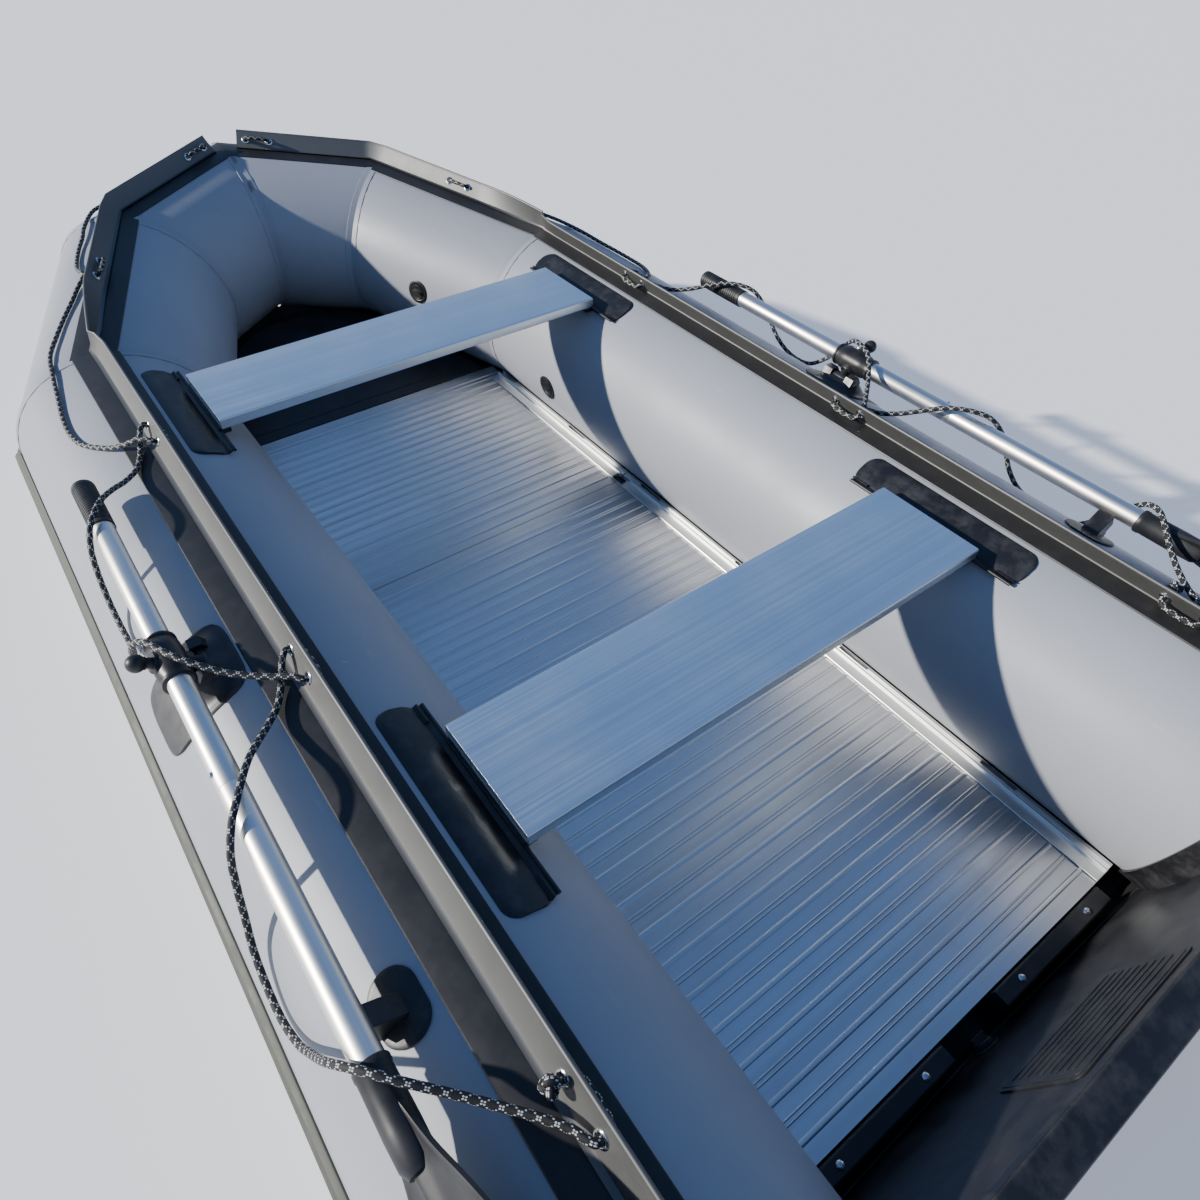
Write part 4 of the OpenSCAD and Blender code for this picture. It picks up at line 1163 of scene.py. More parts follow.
def make_stringers():
    """Three sections a side, each with two slots, and the locks over their joints."""
    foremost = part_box("floor_stringers")[1].x
    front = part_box("floor_panel_front")[1].x
    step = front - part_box("floor_panel_middle")[1].x
    for side in SIDES:
        for k in range(3):
            start = foremost if k == 0 else front - k * step
            bar = Shape().prism(ALONG, STRINGER, front - (k + 1) * step + 0.003, start)
            obj = bar.on_side(side).piece(f"stringer_{k + 1}_{side}", STRINGER_ALLOY, None,
                                          "stringer_alloy")
            tools = []
            for share in (0.2, 0.72):
                x = front - (k + share) * step
                slot = Shape().box(Matrix(), (x, 0.3805, 0.06), (x + 0.072, 0.3885, 0.10))
                tools.append(slot.on_side(side).piece(
                    "slot", BLACK_PLASTIC, None, "black_plastic"))
            pierced(obj, tools)
            obj.data.set_sharp_from_angle(angle=math.radians(25))
            settled(obj, "hull",
                    ["floor_stringers"] if (side, k) == ("port", 1) else ())
    clips = Shape()
    for k in (1, 2):
        x = front - k * step
        clips.box(Matrix(), (x - 0.016, 0.353, 0.0761), (x + 0.018, 0.369, 0.0800))
        clips.box(Matrix(), (x - 0.010, 0.3555, 0.0800), (x + 0.012, 0.3665, 0.0820))
        for ridge in range(4):
            a = x - 0.007 + ridge * 0.005
            clips.box(Matrix(), (a, 0.3565, 0.0815), (a + 0.002, 0.3655, 0.0826))
    clips.plus_mirrored().piece("stringer_locks", BLACK_PLASTIC, "hull", "black_plastic",
                                ["stringer_clips"], bevel=0.0006)


def screw(shape, place, r):
    """A pan-head screw, with a raised cross in its middle."""
    shape.lathe(place, [(r * 0.8, -0.001), (r, 0), (r * 0.97, 0.0012), (r * 0.72, 0.0025),
                        (r * 0.40, 0.0029), (r * 0.34, 0.0018), (0, 0.0016)], 28)
    for turn in (0, 90):
        spun = place @ Matrix.Rotation(math.radians(turn), 4, "Z")
        shape.box(spun, (-r * 0.6, -r * 0.09, 0.0012), (r * 0.6, r * 0.09, 0.0028))
    return shape


BATTEN_TOP = 0.091


def make_floor_end():
    low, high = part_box("floor_end_block")
    x = (low.x + high.x) / 2
    block = Shape()
    shoulder = BATTEN_TOP - 0.003
    outline = [(low.x, low.z), (high.x, low.z), (high.x, shoulder), (high.x - 0.003, BATTEN_TOP),
               (low.x + 0.003, BATTEN_TOP), (low.x, shoulder)]
    for a, b in ((0.060, 0.330), (-0.330, -0.060)):
        block.prism(ACROSS, outline, -b, -a)
    block.piece("end_batten", BLACK_PLASTIC, "hull", "black_plastic", ["floor_end_block"],
                bevel=0.0012)
    screws = [Matrix.Translation((x, side * y, BATTEN_TOP))
              for side in (-1, 1) for y in (0.110, 0.280)]
    repeats("end_batten_screws", screws, screw(Shape(), Matrix(), 0.006), STEEL, "hull",
            "stainless")


def make_bow_board():
    edge = [(0, 0.366), (0.200, 0.300), (0.400, 0.202), (0.470, 0.120), (0.490, 0.060)]
    side = smoothed_pairs(edge, 0.03)
    outline = [(x, -y) for x, y in side] + [(x, y) for x, y in reversed(side)]
    place = (Matrix.Translation((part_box("floor_panel_front")[1].x + 0.004, 0, FLOOR_Z))
             @ Matrix.Rotation(math.radians(-6), 4, "Y"))
    Shape().prism(place, outline, -0.012, 0).piece(
        "bow_board_sheet", BOARD, "hull", "board", ["bow_board"], bevel=0.0012)
    slats = Shape()
    for k in range(3):
        x = 0.035 + k * 0.13
        half = 0.340 - k * 0.052
        slats.box(place, (x, -half + 0.03, 0), (x + 0.006, half - 0.03, 0.0012))
    slats.piece("bow_board_treads", BOARD, "hull", "board", bevel=0.0004)


# ---- transom ----

RAKED = Matrix.Translation((-1.271, 0, 0.008)) @ Matrix.Rotation(math.radians(-12), 4, "Y")
TRANSOM_T = 0.035
TRANSOM_H = 0.421
DRAIN = RAKED @ Matrix.Translation((0, 0, 0.060)) @ ALONG


def transom_outline():
    """Half of the board, from the middle of its foot up: (y, height)."""
    return [(0, 0), (0.400, 0.030), (0.460, 0.110), (0.460, 0.381), (0.440, TRANSOM_H)]


def make_transom():
    half = transom_outline()
    outline = half + [(-y, z) for y, z in reversed(half[1:])]
    board = Shape().prism(RAKED @ ALONG, outline, -TRANSOM_T, 0).piece(
        "transom_panel", BOARD, None, "board")
    tools = []
    for side in (1, -1):
        rod = Matrix.Translation((-1.55, side * AXIS_Y, TUBE_R)) @ ALONG
        tools.append(Shape().prism(rod, arc(0, 0, TUBE_R + 0.006, 0, 355, 71), 0, 0.6).piece(
            "rod", BOARD, None, "board"))
    tools.append(hole_tool(DRAIN, 0.014, -0.1, 0.1))
    pierced(board, tools)
    board.data.set_sharp_from_angle(angle=SMOOTH_ANGLE)
    settled(board, "hull", ["transom_board"])

    t, w = TRANSOM_T, 0.004
    section = [(0, -0.016), (w, -0.016), (w, 0.001), *arc(0, 0, w, 0, 90, 5),
               *arc(-t, 0, w, 90, 180, 5), (-t - w, -0.016), (-t, -0.016), (-t, 0), (0, 0)]
    Shape().prism(RAKED @ ACROSS, shifted(section, 0, TRANSOM_H), -0.400, 0.400).piece(
        "transom_edging", PATCH_RUBBER, "hull", "patch_rubber", ["transom_trim"], smooth=False)


def make_motor_plates():
    t = TRANSOM_T
    plate = RAKED @ ALONG
    pad = Shape()
    pad.prism(plate, shifted(round_rect(0.240, 0.170, 0.018), 0, TRANSOM_H - 0.115), 0, 0.0022)
    pad.prism(plate, shifted(round_rect(0.228, 0.158, 0.013), 0, TRANSOM_H - 0.115), 0, 0.0030)
    for k in range(9):
        z = TRANSOM_H - 0.175 + k * 0.015
        pad.prism(plate, shifted(round_rect(0.206, 0.004, 0.0018, 3), 0, z), 0.0028, 0.0040)
    pad.piece("motor_pad_inner", BLACK_PLASTIC, "hull", "black_plastic", ["motor_plate_inner"],
              bevel=0.0004)
    back = shifted(round_rect(0.300, 0.210, 0.018), 0, TRANSOM_H - 0.135)
    Shape().prism(plate, back, -t - 0.003, -t).piece(
        "motor_pad_outer", PLATE_ALLOY, "hull", "motor_plate_alloy", ["motor_plate_outer"],
        bevel=0.0006)
    bolts = []
    for y in (-0.130, 0.130):
        for z in (TRANSOM_H - 0.220, TRANSOM_H - 0.050):
            bolts.append(RAKED @ Matrix.Translation((-t - 0.003, y, z))
                         @ Matrix.Rotation(math.radians(-90), 4, "Y"))
    repeats("motor_pad_bolts", bolts, screw(Shape(), Matrix(), 0.006), STEEL, "hull", "stainless")


def make_foot_tape():
    """Rubberised tape that joins the bottom sheet to the foot of the transom, inside and out."""
    tape = Shape()
    rings = []
    for k in range(-30, 31):
        y = 0.452 * k / 30
        sheet = 0.004 + 0.0248 * abs(y) / 0.4587
        foot = 0.030 * min(1, abs(y) / 0.400) + 0.080 * max(0, (abs(y) - 0.400) / 0.060)
        inner = [RAKED @ Vector(p) for p in (
            (0.0012, y, foot + 0.004), (0.0012, y, foot + 0.034), (-0.0002, y, foot + 0.0345))]
        outer = [RAKED @ Vector(p) for p in (
            (-0.0348, y, foot + 0.0345), (-0.0362, y, foot + 0.034), (-0.0362, y, foot + 0.001))]
        under = max(0.0006, sheet - 0.0012)
        rings.append([Vector((-1.2250, y, sheet + 0.0015)), Vector((-1.2255, y, sheet + 0.0027)),
                      Vector((-1.2640, y, sheet + 0.0034)), *inner,
                      RAKED @ Vector((-0.017, y, foot + 0.0345)), *outer,
                      Vector((-1.2980, y, under)), Vector((-1.2700, y, under))])
    tape.loft(rings)
    tape.piece("transom_foot_tape", BOTTOM_FABRIC, "hull", "bottom_fabric", smooth=False)


# ---- bottom sheet ----

BOTTOM_ROLL = -150
SKIRT_ROLL = -165
BOTTOM_AFT = -1.270
BOTTOM_END = 0.308
BOW_RISE_X = 0.6
KEEL_Z = 0.004


def bottom_ring(i, share):
    """One row of the sheet: bonded skirts on both tubes and a shallow V between them."""

    def along(roll):
        return along_segment(i, share, roll, TUBE_R, BOTTOM_AFT, BOTTOM_END)

    rolls = [SKIRT_ROLL + (BOTTOM_ROLL - SKIRT_ROLL) * k / 5 for k in range(6)]
    skirt = [tube_at(i, along(r), r, TUBE_R + 0.0002) for r in rolls]
    below = [tube_at(i, along(r), r, TUBE_R + 0.0016) for r in rolls]
    edge = skirt[-1]
    keel = KEEL_Z + 0.096 * (max(0, edge.x - BOW_RISE_X) / 0.740) ** 1.6
    keel = max(keel, edge.z - 0.49 * edge.y)
    middle = [Vector((edge.x, edge.y * s / 6, keel + (edge.z - keel) * abs(s) / 6))
              for s in range(5, -6, -1)]
    flip = [Vector((p.x, -p.y, p.z)) for p in skirt]
    flip_below = [Vector((p.x, -p.y, p.z)) for p in below]
    top = skirt + middle + flip[::-1]
    drop = Vector((0, 0, 0.0014))
    return top + flip_below + [p - drop for p in reversed(middle)] + below[::-1]


def make_bottom():
    sheet = Shape()
    rings = []
    for i, steps in ((0, 40), (1, 14), (2, 10)):
        rings += [bottom_ring(i, k / steps) for k in range(steps + 1 if i == 2 else steps)]
    sheet.loft(rings)
    sheet.piece("bottom_sheet", BOTTOM_FABRIC, "hull", "bottom_fabric", ["hull_bottom"],
                smooth=False)


# ---- valves and drain ----


def make_valves():
    bodies = Shape()
    caps = {"port": Shape(), "starboard": Shape(), "bow": Shape()}
    lugs = []
    for side, i, along, roll in VALVES:
        place = valve_place(side, i, along, roll)
        bodies.lathe(place, [
            (0.0248, -0.030), (0.0250, -0.003), (0.0300, -0.0022), (0.0310, -0.001),
            (0.0308, 0.0012), (0.0290, 0.0022), (0.0235, 0.0025), (0.0226, 0.0018),
            (0.0213, 0.0015), (0.0210, 0), (0.0210, -0.027), (0, -0.028)], 56)
        name = "bow" if i == 1 else side
        cap = caps[name]
        cap.lathe(place, [(0.0170, -0.004), (0.0198, -0.0034), (0.0200, 0.0014), (0.0192, 0.0028),
                          (0.0172, 0.0032), (0.0160, 0.0022), (0.0100, 0.0020), (0, 0.0024)], 56)
        grip = [(-0.0150, -0.0016), (-0.0120, -0.0028), (0.0120, -0.0028), (0.0150, -0.0016),
                (0.0150, 0.0016), (0.0120, 0.0028), (-0.0120, 0.0028), (-0.0150, 0.0016)]
        cap.prism(place, grip, 0.0018, 0.0078)
        for k in range(18):
            lugs.append((name, place @ Matrix.Rotation(math.radians(20 * k), 4, "Z")
                         @ Matrix.Translation((0.0188, 0, 0.0006))))
    bodies.piece("valve_flanges", BLACK_PLASTIC, "hull", "black_plastic", ["valve_bodies"],
                 smooth=False)
    for name, cap in caps.items():
        cap.piece(f"valve_top_{name}", BLACK_PLASTIC, f"valve_cap_{name}", "black_plastic",
                  [f"valve_cap_{name}"], bevel=0.0003)
        tooth = Shape().box(Matrix(), (-0.0010, -0.0010, -0.0022), (0.0017, 0.0010, 0.0022))
        repeats(f"valve_teeth_{name}", [p for n, p in lugs if n == name], tooth, BLACK_PLASTIC,
                f"valve_cap_{name}", "black_plastic")


def make_drain():
    body = Shape()
    t = TRANSOM_T
    body.lathe(DRAIN, [(0.011, -t - 0.003), (0.0215, -t - 0.003), (0.022, -t - 0.002), (0.022, -t),
                      (0.0139, -t), (0.0139, 0), (0.022, 0), (0.022, 0.002), (0.0212, 0.003),
                      (0.0110, 0.003), (0.0110, -t - 0.003)], 48)
    body.piece("drain_sleeve", BLACK_PLASTIC, "hull", "black_plastic", ["drain_body"], smooth=False)
    plug = Shape()
    plug.lathe(DRAIN, [(0.0085, -0.030), (0.0106, -0.027), (0.0106, 0.0033), (0.0155, 0.0033),
                      (0.016, 0.004), (0.016, 0.0092), (0.0152, 0.0103), (0.0125, 0.0106),
                      (0, 0.0100)], 48)
    plug.box(DRAIN, (-0.013, -0.0025, 0.0098), (0.013, 0.0025, 0.0192))
    plug.piece("drain_bung", BLACK_PLASTIC, "drain_plug", "black_plastic", ["drain_plug"],
               bevel=0.0008)


# ---- oarlocks ----

PIVOT = Vector((-0.308, 0.660, 0.425))
STEM_AT = Matrix.Translation(PIVOT) @ Matrix.Rotation(math.radians(-58), 4, "X")
OAR_RISE = 0.045
OAR = STEM_AT @ Matrix.Translation((-PIVOT.x, 0, OAR_RISE))
NUT = Matrix.Translation(PIVOT) @ ALONG
BASE_Y = 0.683
BASE_HALF = (0.075, 0.068)
BASE_STEPS = 44


def saddle_height(u, v):
    """Rise of the oarlock's base over the tube, at u and v from -1 to 1 across it."""
    edge = max(abs(u), abs(v))
    rim = 0.0028 * min(1, (1 - edge) / 0.05 + 0.2)
    mound = math.exp(-((u / 0.62) ** 4)) * math.exp(-(((v + 0.28) / 0.40) ** 2))
    hollow = 0.35 * math.exp(-((u / 0.20) ** 2)) * math.exp(-(((v - 0.1) / 0.5) ** 2))
    return rim + 0.024 * mound * (1 - hollow) * min(1, (1 - edge) / 0.25)


def roll_at(y):
    """The roll at which the tube's upper side is at y."""
    return math.degrees(math.asin((y - AXIS_Y) / TUBE_R))


def make_oarlock_pad(side):
    """The base: a grid of points over the tube, its underside, and a wall round the edge."""
    shape = Shape()
    steps = BASE_STEPS
    grid = []
    for a in range(steps + 1):
        u = -1 + 2 * a / steps
        for b in range(steps + 1):
            v = -1 + 2 * b / steps
            squeeze = math.sqrt(1 - 0.30 * (u * v) ** 4)
            x = PIVOT.x + u * squeeze * BASE_HALF[0]
            y = BASE_Y + v * squeeze * BASE_HALF[1]
            grid.append((x, roll_at(y), saddle_height(u, v)))
    n = steps + 1
    top = [tube_at(0, x, roll, TUBE_R + h) for x, roll, h in grid]
    low = [tube_at(0, x, roll, TUBE_R - 0.0004) for x, roll, h in grid]
    faces = [(a * n + b, a * n + b + 1, (a + 1) * n + b + 1, (a + 1) * n + b)
             for a in range(steps) for b in range(steps)]
    count = len(top)
    rim = [*range(n)] + [a * n + steps for a in range(1, n)]
    rim += [steps * n + b for b in range(steps - 1, -1, -1)]
    rim += [a * n for a in range(steps - 1, 0, -1)]
    walls = [(p, q, count + q, count + p) for p, q in zip(rim, rim[1:] + rim[:1])]
    shape.add(top + low, faces + [tuple(count + k for k in f) for f in faces] + walls)
    shape.on_side(side).piece(f"oarlock_pad_{side}", PATCH_RUBBER, "hull", "patch_rubber",
                              ["oarlock_bases"] if side == "port" else (), smooth=False)


def make_oarlock_lugs(side):
    """Two hexagonal lugs on feet, the heads of the pin at their ends, and the pin."""
    lugs = Shape()
    hexagon = arc(0, 0, 0.0173, 0, 300, 5)
    foot = [(-0.0150, -0.038), (0.0150, -0.038), (0.0140, -0.008), (-0.0140, -0.008)]
    for s in (-1, 1):
        near, far = sorted((s * 0.0180, s * 0.0385))
        lugs.prism(NUT, hexagon, near, far)
        lugs.prism(NUT, foot, near + 0.001, far - 0.001)
        head = [(0.0095, -0.0012), (0.0090, 0.0012 * s), (0.0040, 0.0016 * s), (0, 0.0008 * s)]
        lugs.lathe(NUT @ Matrix.Translation((0, 0, s * 0.0385)), head, 32)
    lugs.lathe(NUT, [(0.005, -0.019), (0.005, 0.019)], 32)
    lugs.on_side(side).piece(f"oarlock_lugs_{side}", PATCH_RUBBER, "hull", "patch_rubber",
                             bevel=0.0012)


def make_swivel(side):
    swivel = Shape()
    swivel.lathe(NUT, [
        (0.0051, -0.0170), (0.0094, -0.0170), (0.0100, -0.0160), (0.0100, 0.0160),
        (0.0094, 0.0170), (0.0051, 0.0170), (0.0051, -0.0170)], 40)
    swivel.lathe(STEM_AT, [
        (0.0098, 0.004), (0.0092, 0.012), (0.0081, 0.017), (0.0080, 0.0735), (0.0074, 0.0760),
        (0.0040, 0.0762), (0.0040, 0.0930), (0.0034, 0.0940)], 40)
    swivel.on_side(side).piece(f"oarlock_stem_{side}", BLACK_PLASTIC, f"oarlock_{side}",
                               "black_plastic", [f"oarlock_swivel_{side}"], smooth=False)


def make_knob(side):
    """The ball knob, its wire lanyard round the stem, and the ridges of its collar."""
    ball = [(0.0041, 0.0766), (0.0080, 0.0766), (0.0085, 0.0774), (0.0085, 0.0790),
            *arc(0, 0.089, 0.013, -48, 90, 16)]
    knob = Shape().lathe(STEM_AT, ball, 48)
    knob.on_side(side).piece(f"oarlock_ball_{side}", BLACK_PLASTIC, f"knob_{side}", "black_plastic",
                             [f"oarlock_knob_{side}"], smooth=False)
    wire = [STEM_AT @ Vector(p) for p in (
        (0.008, 0, 0.0775), (0.013, 0.002, 0.0772), (0.024, 0.004, 0.076), (0.034, 0.002, 0.072),
        (0.039, -0.003, 0.0685), (0.034, -0.008, 0.0672), (0.022, -0.0110, 0.0672),
        (0.008, -0.0118, 0.0674), (0, -0.0092, 0.0680), (-0.0065, -0.0065, 0.0680),
        (-0.0092, 0, 0.0680), (-0.0065, 0.0065, 0.0680), (0, 0.0092, 0.0680))]
    lanyard = hose(Shape(), smoothed(wire, 0.002), 0.0005, 8)
    lanyard.on_side(side).piece(f"knob_lanyard_{side}", STEEL, f"oarlock_{side}", "stainless")
    places = []
    for k in range(12):
        turned = STEM_AT @ Matrix.Rotation(math.radians(30 * k), 4, "Z")
        places.append(place_on_side(side, turned @ Matrix.Translation((0.0084, 0, 0.0780))))
    ridge = Shape().box(Matrix(), (-0.0005, -0.0009, -0.0010), (0.0009, 0.0009, 0.0016))
    repeats(f"knob_ridges_{side}", places, ridge, BLACK_PLASTIC, f"knob_{side}", "black_plastic")


# ---- oars ----

OAR_R = 0.017
OAR_JOINT = -0.553
GRIP_FRONT = 0.162
BUTTON = OAR @ Matrix.Translation((-0.527, 0, 0))
NECK = -0.977
SHAFT = OAR @ ALONG


def make_shafts(side, body):
    """The oar's two alloy sections; the lower one's spigot reaches into the upper."""
    upper = Shape()
    upper.lathe(SHAFT, [
        (OAR_R - 0.0015, OAR_JOINT), (OAR_R - 0.0003, OAR_JOINT), (OAR_R, OAR_JOINT + 0.0006),
        (OAR_R, GRIP_FRONT - 0.003), (0, GRIP_FRONT - 0.003)], 56)
    cup = upper.on_side(side).piece(f"oar_shaft_upper_{side}", OAR_ALLOY, None, "oar_alloy")
    tool = Shape().lathe(BUTTON, [(0.0046, 0.008), (0.0046, 0.04)], 24).on_side(side).piece(
        "hole", BLACK_PLASTIC, None, "black_plastic")
    pierced(cup, [tool])
    cup.data.set_sharp_from_angle(angle=SMOOTH_ANGLE)
    settled(cup, body, [f"oar_upper_{side}"])
    lower = Shape()
    lower.lathe(SHAFT, [
        (OAR_R - 0.0015, NECK - 0.040), (OAR_R, NECK - 0.039), (OAR_R, OAR_JOINT - 0.0008),
        (OAR_R - 0.0006, OAR_JOINT), (OAR_R - 0.0016, OAR_JOINT),
        (OAR_R - 0.0016, OAR_JOINT + 0.063)], 56)
    lower.on_side(side).piece(f"oar_shaft_lower_{side}", OAR_ALLOY, body, "oar_alloy",
                              [f"oar_lower_{side}"], smooth=False)


def make_grip(side, body):
    profile = [(0.0171, 0.0320), (0.0182, 0.0320), (0.0190, 0.0330), (0.0190, 0.0400)]
    x = 0.042
    while x < 0.150:
        profile += [(0.0190, x), (0.0180, x + 0.0008), (0.0180, x + 0.0022), (0.0190, x + 0.0030)]
        x += 0.0062
    profile += [(0.0190, 0.1560), (0.0186, 0.1600), (0.0170, 0.1618), (0.0100, 0.1622),
                (0, 0.1624)]
    grip = Shape().lathe(SHAFT, profile, 48)
    grip.on_side(side).piece(f"oar_handle_{side}", GRIP_RUBBER, body, "grip_rubber",
                             [f"oar_grip_{side}"], smooth=False)


def make_sleeve(side, body):
    """The sleeve round the shaft, with the boss that turns on the swivel's stem."""
    collar = Shape()
    c = PIVOT.x
    collar.lathe(SHAFT, [
        (0.0170, c - 0.0450), (0.0200, c - 0.0450), (0.0222, c - 0.0438), (0.0224, c - 0.0400),
        (0.0205, c - 0.0385), (0.0205, c - 0.0350), (0.0232, c - 0.0280), (0.0240, c - 0.0150),
        (0.0240, c + 0.0150), (0.0232, c + 0.0280), (0.0205, c + 0.0350), (0.0205, c + 0.0385),
        (0.0224, c + 0.0400), (0.0222, c + 0.0438), (0.0200, c + 0.0450), (0.0170, c + 0.0450)], 56)
    boss = OAR @ Matrix.Translation((c, 0, 0))
    collar.lathe(boss, [(0.0086, -0.029), (0.0140, -0.029), (0.0150, -0.0275), (0.0150, 0.0225),
                        (0.0140, 0.024), (0.0086, 0.024)], 40)
    collar.on_side(side).piece(f"oar_sleeve_{side}", BLACK_PLASTIC, body, "black_plastic",
                               [f"oar_collar_{side}"], smooth=False)


def make_button(side):
    button = Shape()
    button.lathe(BUTTON,
                 [(0.0058, 0.0085), (0.0060, 0.011), (0.0039, 0.0112), (0.0039, 0.0188),
                  (0.0034, 0.0200), (0.0020, 0.0205), (0, 0.0206)], 28)
    button.on_side(side).piece(f"oar_pin_{side}", STEEL, f"oar_button_{side}", "stainless",
                               [f"oar_button_{side}"], smooth=False)


def make_blade(side, body):
    """The blade: a socket, a spine that runs out, and a thin sheet with a rolled rim."""
    blade = Shape()
    blade.lathe(SHAFT, [
        (0.0171, NECK + 0.048), (0.0192, NECK + 0.048), (0.0200, NECK + 0.0465),
        (0.0200, NECK + 0.040), (0.0190, NECK + 0.038), (0.0196, NECK - 0.020),
        (0.0190, NECK - 0.050), (0.0140, NECK - 0.060), (0, NECK - 0.061)], 48)
    widths = [(0, 0.0185), (0.05, 0.033), (0.10, 0.055), (0.15, 0.072), (0.22, 0.0765),
              (0.32, 0.0780), (0.40, 0.0778), (0.430, 0.070), (0.447, 0.052), (0.453, 0.030)]
    rings = []
    for reach, w in smoothed_pairs(widths, 0.012):
        x = NECK - reach
        ring = []
        for s in range(25):
            v = -1 + 2 * s / 24
            spine = 0.0075 * math.exp(-((v * w / 0.011) ** 2)) * max(0, 1 - (reach / 0.33) ** 2)
            rolled = 0.0016 * math.exp(-(((abs(v) - 0.95) * w / 0.004) ** 2))
            ring.append((v, 0.0026 * math.sqrt(1.02 - v * v) ** 0.3 + spine + rolled))
        dish = 0.004 * (reach / 0.45) ** 2
        loop = [OAR @ Vector((x, v * w, h - dish)) for v, h in ring]
        loop += [OAR @ Vector((x, v * w, -h - dish)) for v, h in reversed(ring)]
        rings.append(loop)
    blade.loft(rings)
    blade.on_side(side).piece(f"oar_paddle_{side}", BLADE_PLASTIC, body, "black_plastic",
                              [f"oar_blade_{side}"], smooth=False)


# ---- oar rests and the tow ring ----


REST_X = -0.884
REST_Y = 0.650


def make_rests():
    """An oval patch a side, and the block on it that the stowed oar lies on."""
    rings = []
    for k in range(13):
        lift = (0.0004, 0.0026, 0.0034)[min(2, k)]
        size = 1 if k < 2 else 1 - 0.9 * (k - 1) / 12
        rings.append([tube_at(0, REST_X + x * size, roll_at(REST_Y + y * size), TUBE_R + lift)
                      for x, y in round_rect(0.086, 0.056, 0.0279, 10)])
    block = STEM_AT @ Matrix.Translation((REST_X - PIVOT.x, 0, 0)) @ ALONG
    top = OAR_RISE - OAR_R - 0.0008
    saddle = [(-0.003, -0.036), (0.034, -0.036), (0.034, 0.010), (0.030, 0.0115),
              (0.026, 0.010), (0.023, top), (-0.003, top)]
    for side in SIDES:
        shape = Shape().loft(rings).prism(block, saddle, -0.014, 0.014)
        shape.on_side(side).piece(f"oar_rest_{side}", PATCH_RUBBER, "hull", "patch_rubber",
                                  ["oar_clips"] if side == "port" else (), bevel=0.0010)


def make_tow_ring():
    at = Vector((1.614, 0, 0.172))
    half = 0.026
    line = [at + Vector((0, y, 0)) for y in (0, 0.012, 0.024)]
    for k in range(25):
        a = math.pi * k / 24
        line.append(at + Vector((0, half * math.cos(a), -half * math.sin(a))))
    line += [at + Vector((0, y, 0)) for y in (-0.024, -0.012, 0.0001)]
    ring = hose(Shape(), line, 0.004, 20)
    ring.piece("tow_eye", STEEL, "tow_ring", "stainless", ["tow_ring"], smooth=False)


# ---- the whole boat ----

CAD_FINISH = {
    "tube_fabric": TUBE_FABRIC, "inner_fabric": INNER_FABRIC, "bottom_fabric": BOTTOM_FABRIC,
    "strake_rubber": STRAKE_RUBBER, "flange_rubber": FLANGE_RUBBER, "patch_rubber": PATCH_RUBBER,
    "rope": ROPE, "stainless": STEEL, "floor_alloy": FLOOR_ALLOY,
    "stringer_alloy": STRINGER_ALLOY, "seat_alloy": SEAT_ALLOY, "oar_alloy": OAR_ALLOY,
    "motor_plate_alloy": PLATE_ALLOY, "board": BOARD, "black_plastic": BLACK_PLASTIC,
    "grip_rubber": GRIP_RUBBER,
}


def finish_cad_nodes():
    """CAD nodes that stay take the same finishes as the pieces made here."""
    slots = {s["node"]: s["material_slot"] for s in frame["record"]["subparts"]}
    for name, node in NODES.items():
        node.data.materials.clear()
        node.data.materials.append(CAD_FINISH[slots[name]])


make_tubes()
make_tail_caps()
make_strake()
make_flanges()
make_eyelets()
make_lifelines()
make_seats()
make_rails()
make_floor()
make_stringers()
make_floor_end()
make_bow_board()
make_transom()
make_motor_plates()
make_foot_tape()
make_bottom()
make_valves()
make_drain()
for side in SIDES:
    for make in (make_oarlock_pad, make_oarlock_lugs, make_swivel, make_knob):
        make(side)
    for make in (make_shafts, make_grip, make_sleeve):
        make(side, f"oar_{side}")
    make_button(side)
    make_blade(side, f"oar_{side}")
make_rests()
make_tow_ring()
finish_cad_nodes()


# ---- floor, light and camera ----


# Each stop of the sky: height from the horizon (0) to overhead (1), and its colour.
SKY = ((0.0, (0.90, 0.91, 0.93)), (0.10, (0.66, 0.76, 0.92)), (0.35, (0.26, 0.46, 0.90)),
       (1.0, (0.10, 0.21, 0.52)))
SKY_STRENGTH = 0.7
SUN_FROM = Vector((0.453, 0.801, 0.391))
EYE = (-1.25, 0.679, 1.345)


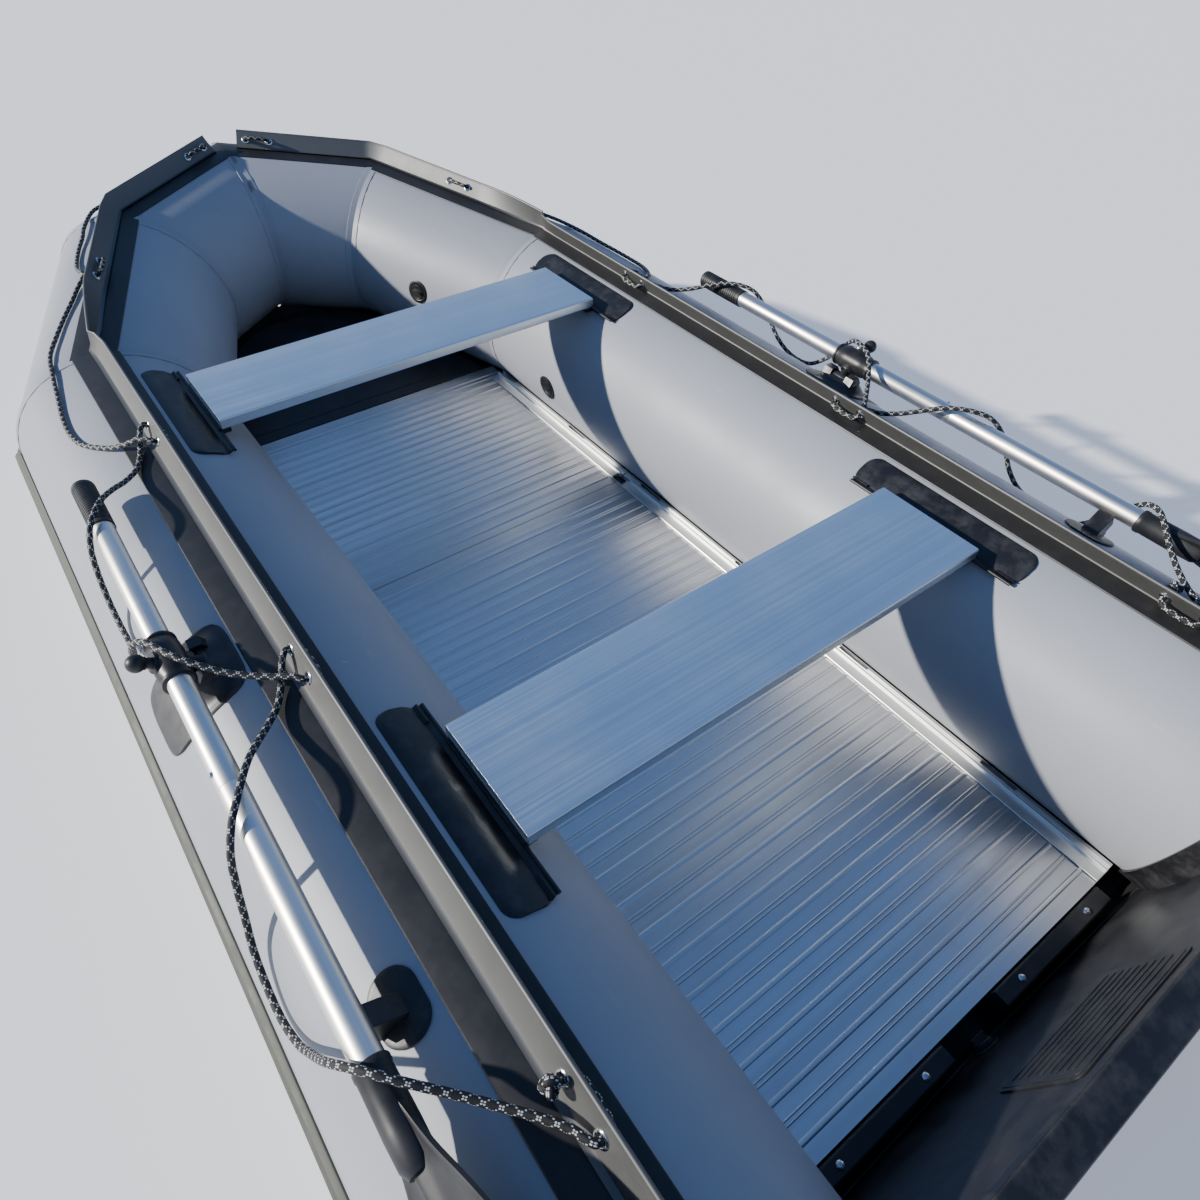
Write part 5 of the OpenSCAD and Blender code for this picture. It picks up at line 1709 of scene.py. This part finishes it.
def make_ground():
    bpy.ops.mesh.primitive_plane_add(size=60, location=(0, 0, -0.001))
    ground = bpy.context.object
    ground.name = "studio_floor"
    f = Finish("studio floor", Base_Color=(0.88, 0.875, 0.865), Roughness=0.8,
               Emission_Color=(1.0, 0.98, 0.95), Emission_Strength=0.32)
    f.done(None, None, f.bump(f.noise(60, 3), 0.0005, 0.1))
    ground.data.materials.append(f.material)


def make_sun():
    sun = bpy.data.lights.new("key", "SUN")
    sun.energy = 6.6
    sun.angle = math.radians(1.6)
    sun.color = (1.0, 0.965, 0.90)
    lamp = bpy.data.objects.new("key", sun)
    lamp.rotation_mode = "QUATERNION"
    lamp.rotation_quaternion = SUN_FROM.to_track_quat("Z", "Y")
    bpy.context.scene.collection.objects.link(lamp)


def make_sky():
    world = bpy.data.worlds.new("soft sky")
    bpy.context.scene.world = world
    world.use_nodes = True
    nodes, links = world.node_tree.nodes, world.node_tree.links
    place = nodes.new("ShaderNodeTexCoord")
    split = nodes.new("ShaderNodeSeparateXYZ")
    ramp = nodes.new("ShaderNodeValToRGB")
    links.new(place.outputs["Generated"], split.inputs[0])
    links.new(split.outputs["Z"], ramp.inputs["Fac"])
    ramp.color_ramp.elements.remove(ramp.color_ramp.elements[1])
    for k, (at, colour) in enumerate(SKY):
        stop = ramp.color_ramp.elements[0] if k == 0 else ramp.color_ramp.elements.new(at)
        stop.position = at
        stop.color = (*colour, 1)
    links.new(ramp.outputs["Color"], nodes["Background"].inputs["Color"])
    nodes["Background"].inputs["Strength"].default_value = SKY_STRENGTH


def make_camera():
    camera = bpy.data.cameras.new("camera")
    camera.lens = 25.23
    camera.sensor_width = 36
    camera.clip_start = 0.02
    eye = bpy.data.objects.new("camera", camera)
    right = Vector((-0.5947, -0.8038, 0.0170))
    up = Vector((0.5821, -0.4158, 0.6987))
    back = Vector((-0.5545, 0.4254, 0.7152))
    turned = Matrix((right, up, back)).transposed()
    eye.matrix_world = Matrix.Translation(EYE) @ turned.to_4x4()
    bpy.context.scene.collection.objects.link(eye)
    bpy.context.scene.camera = eye


make_ground()
make_sun()
make_sky()
make_camera()
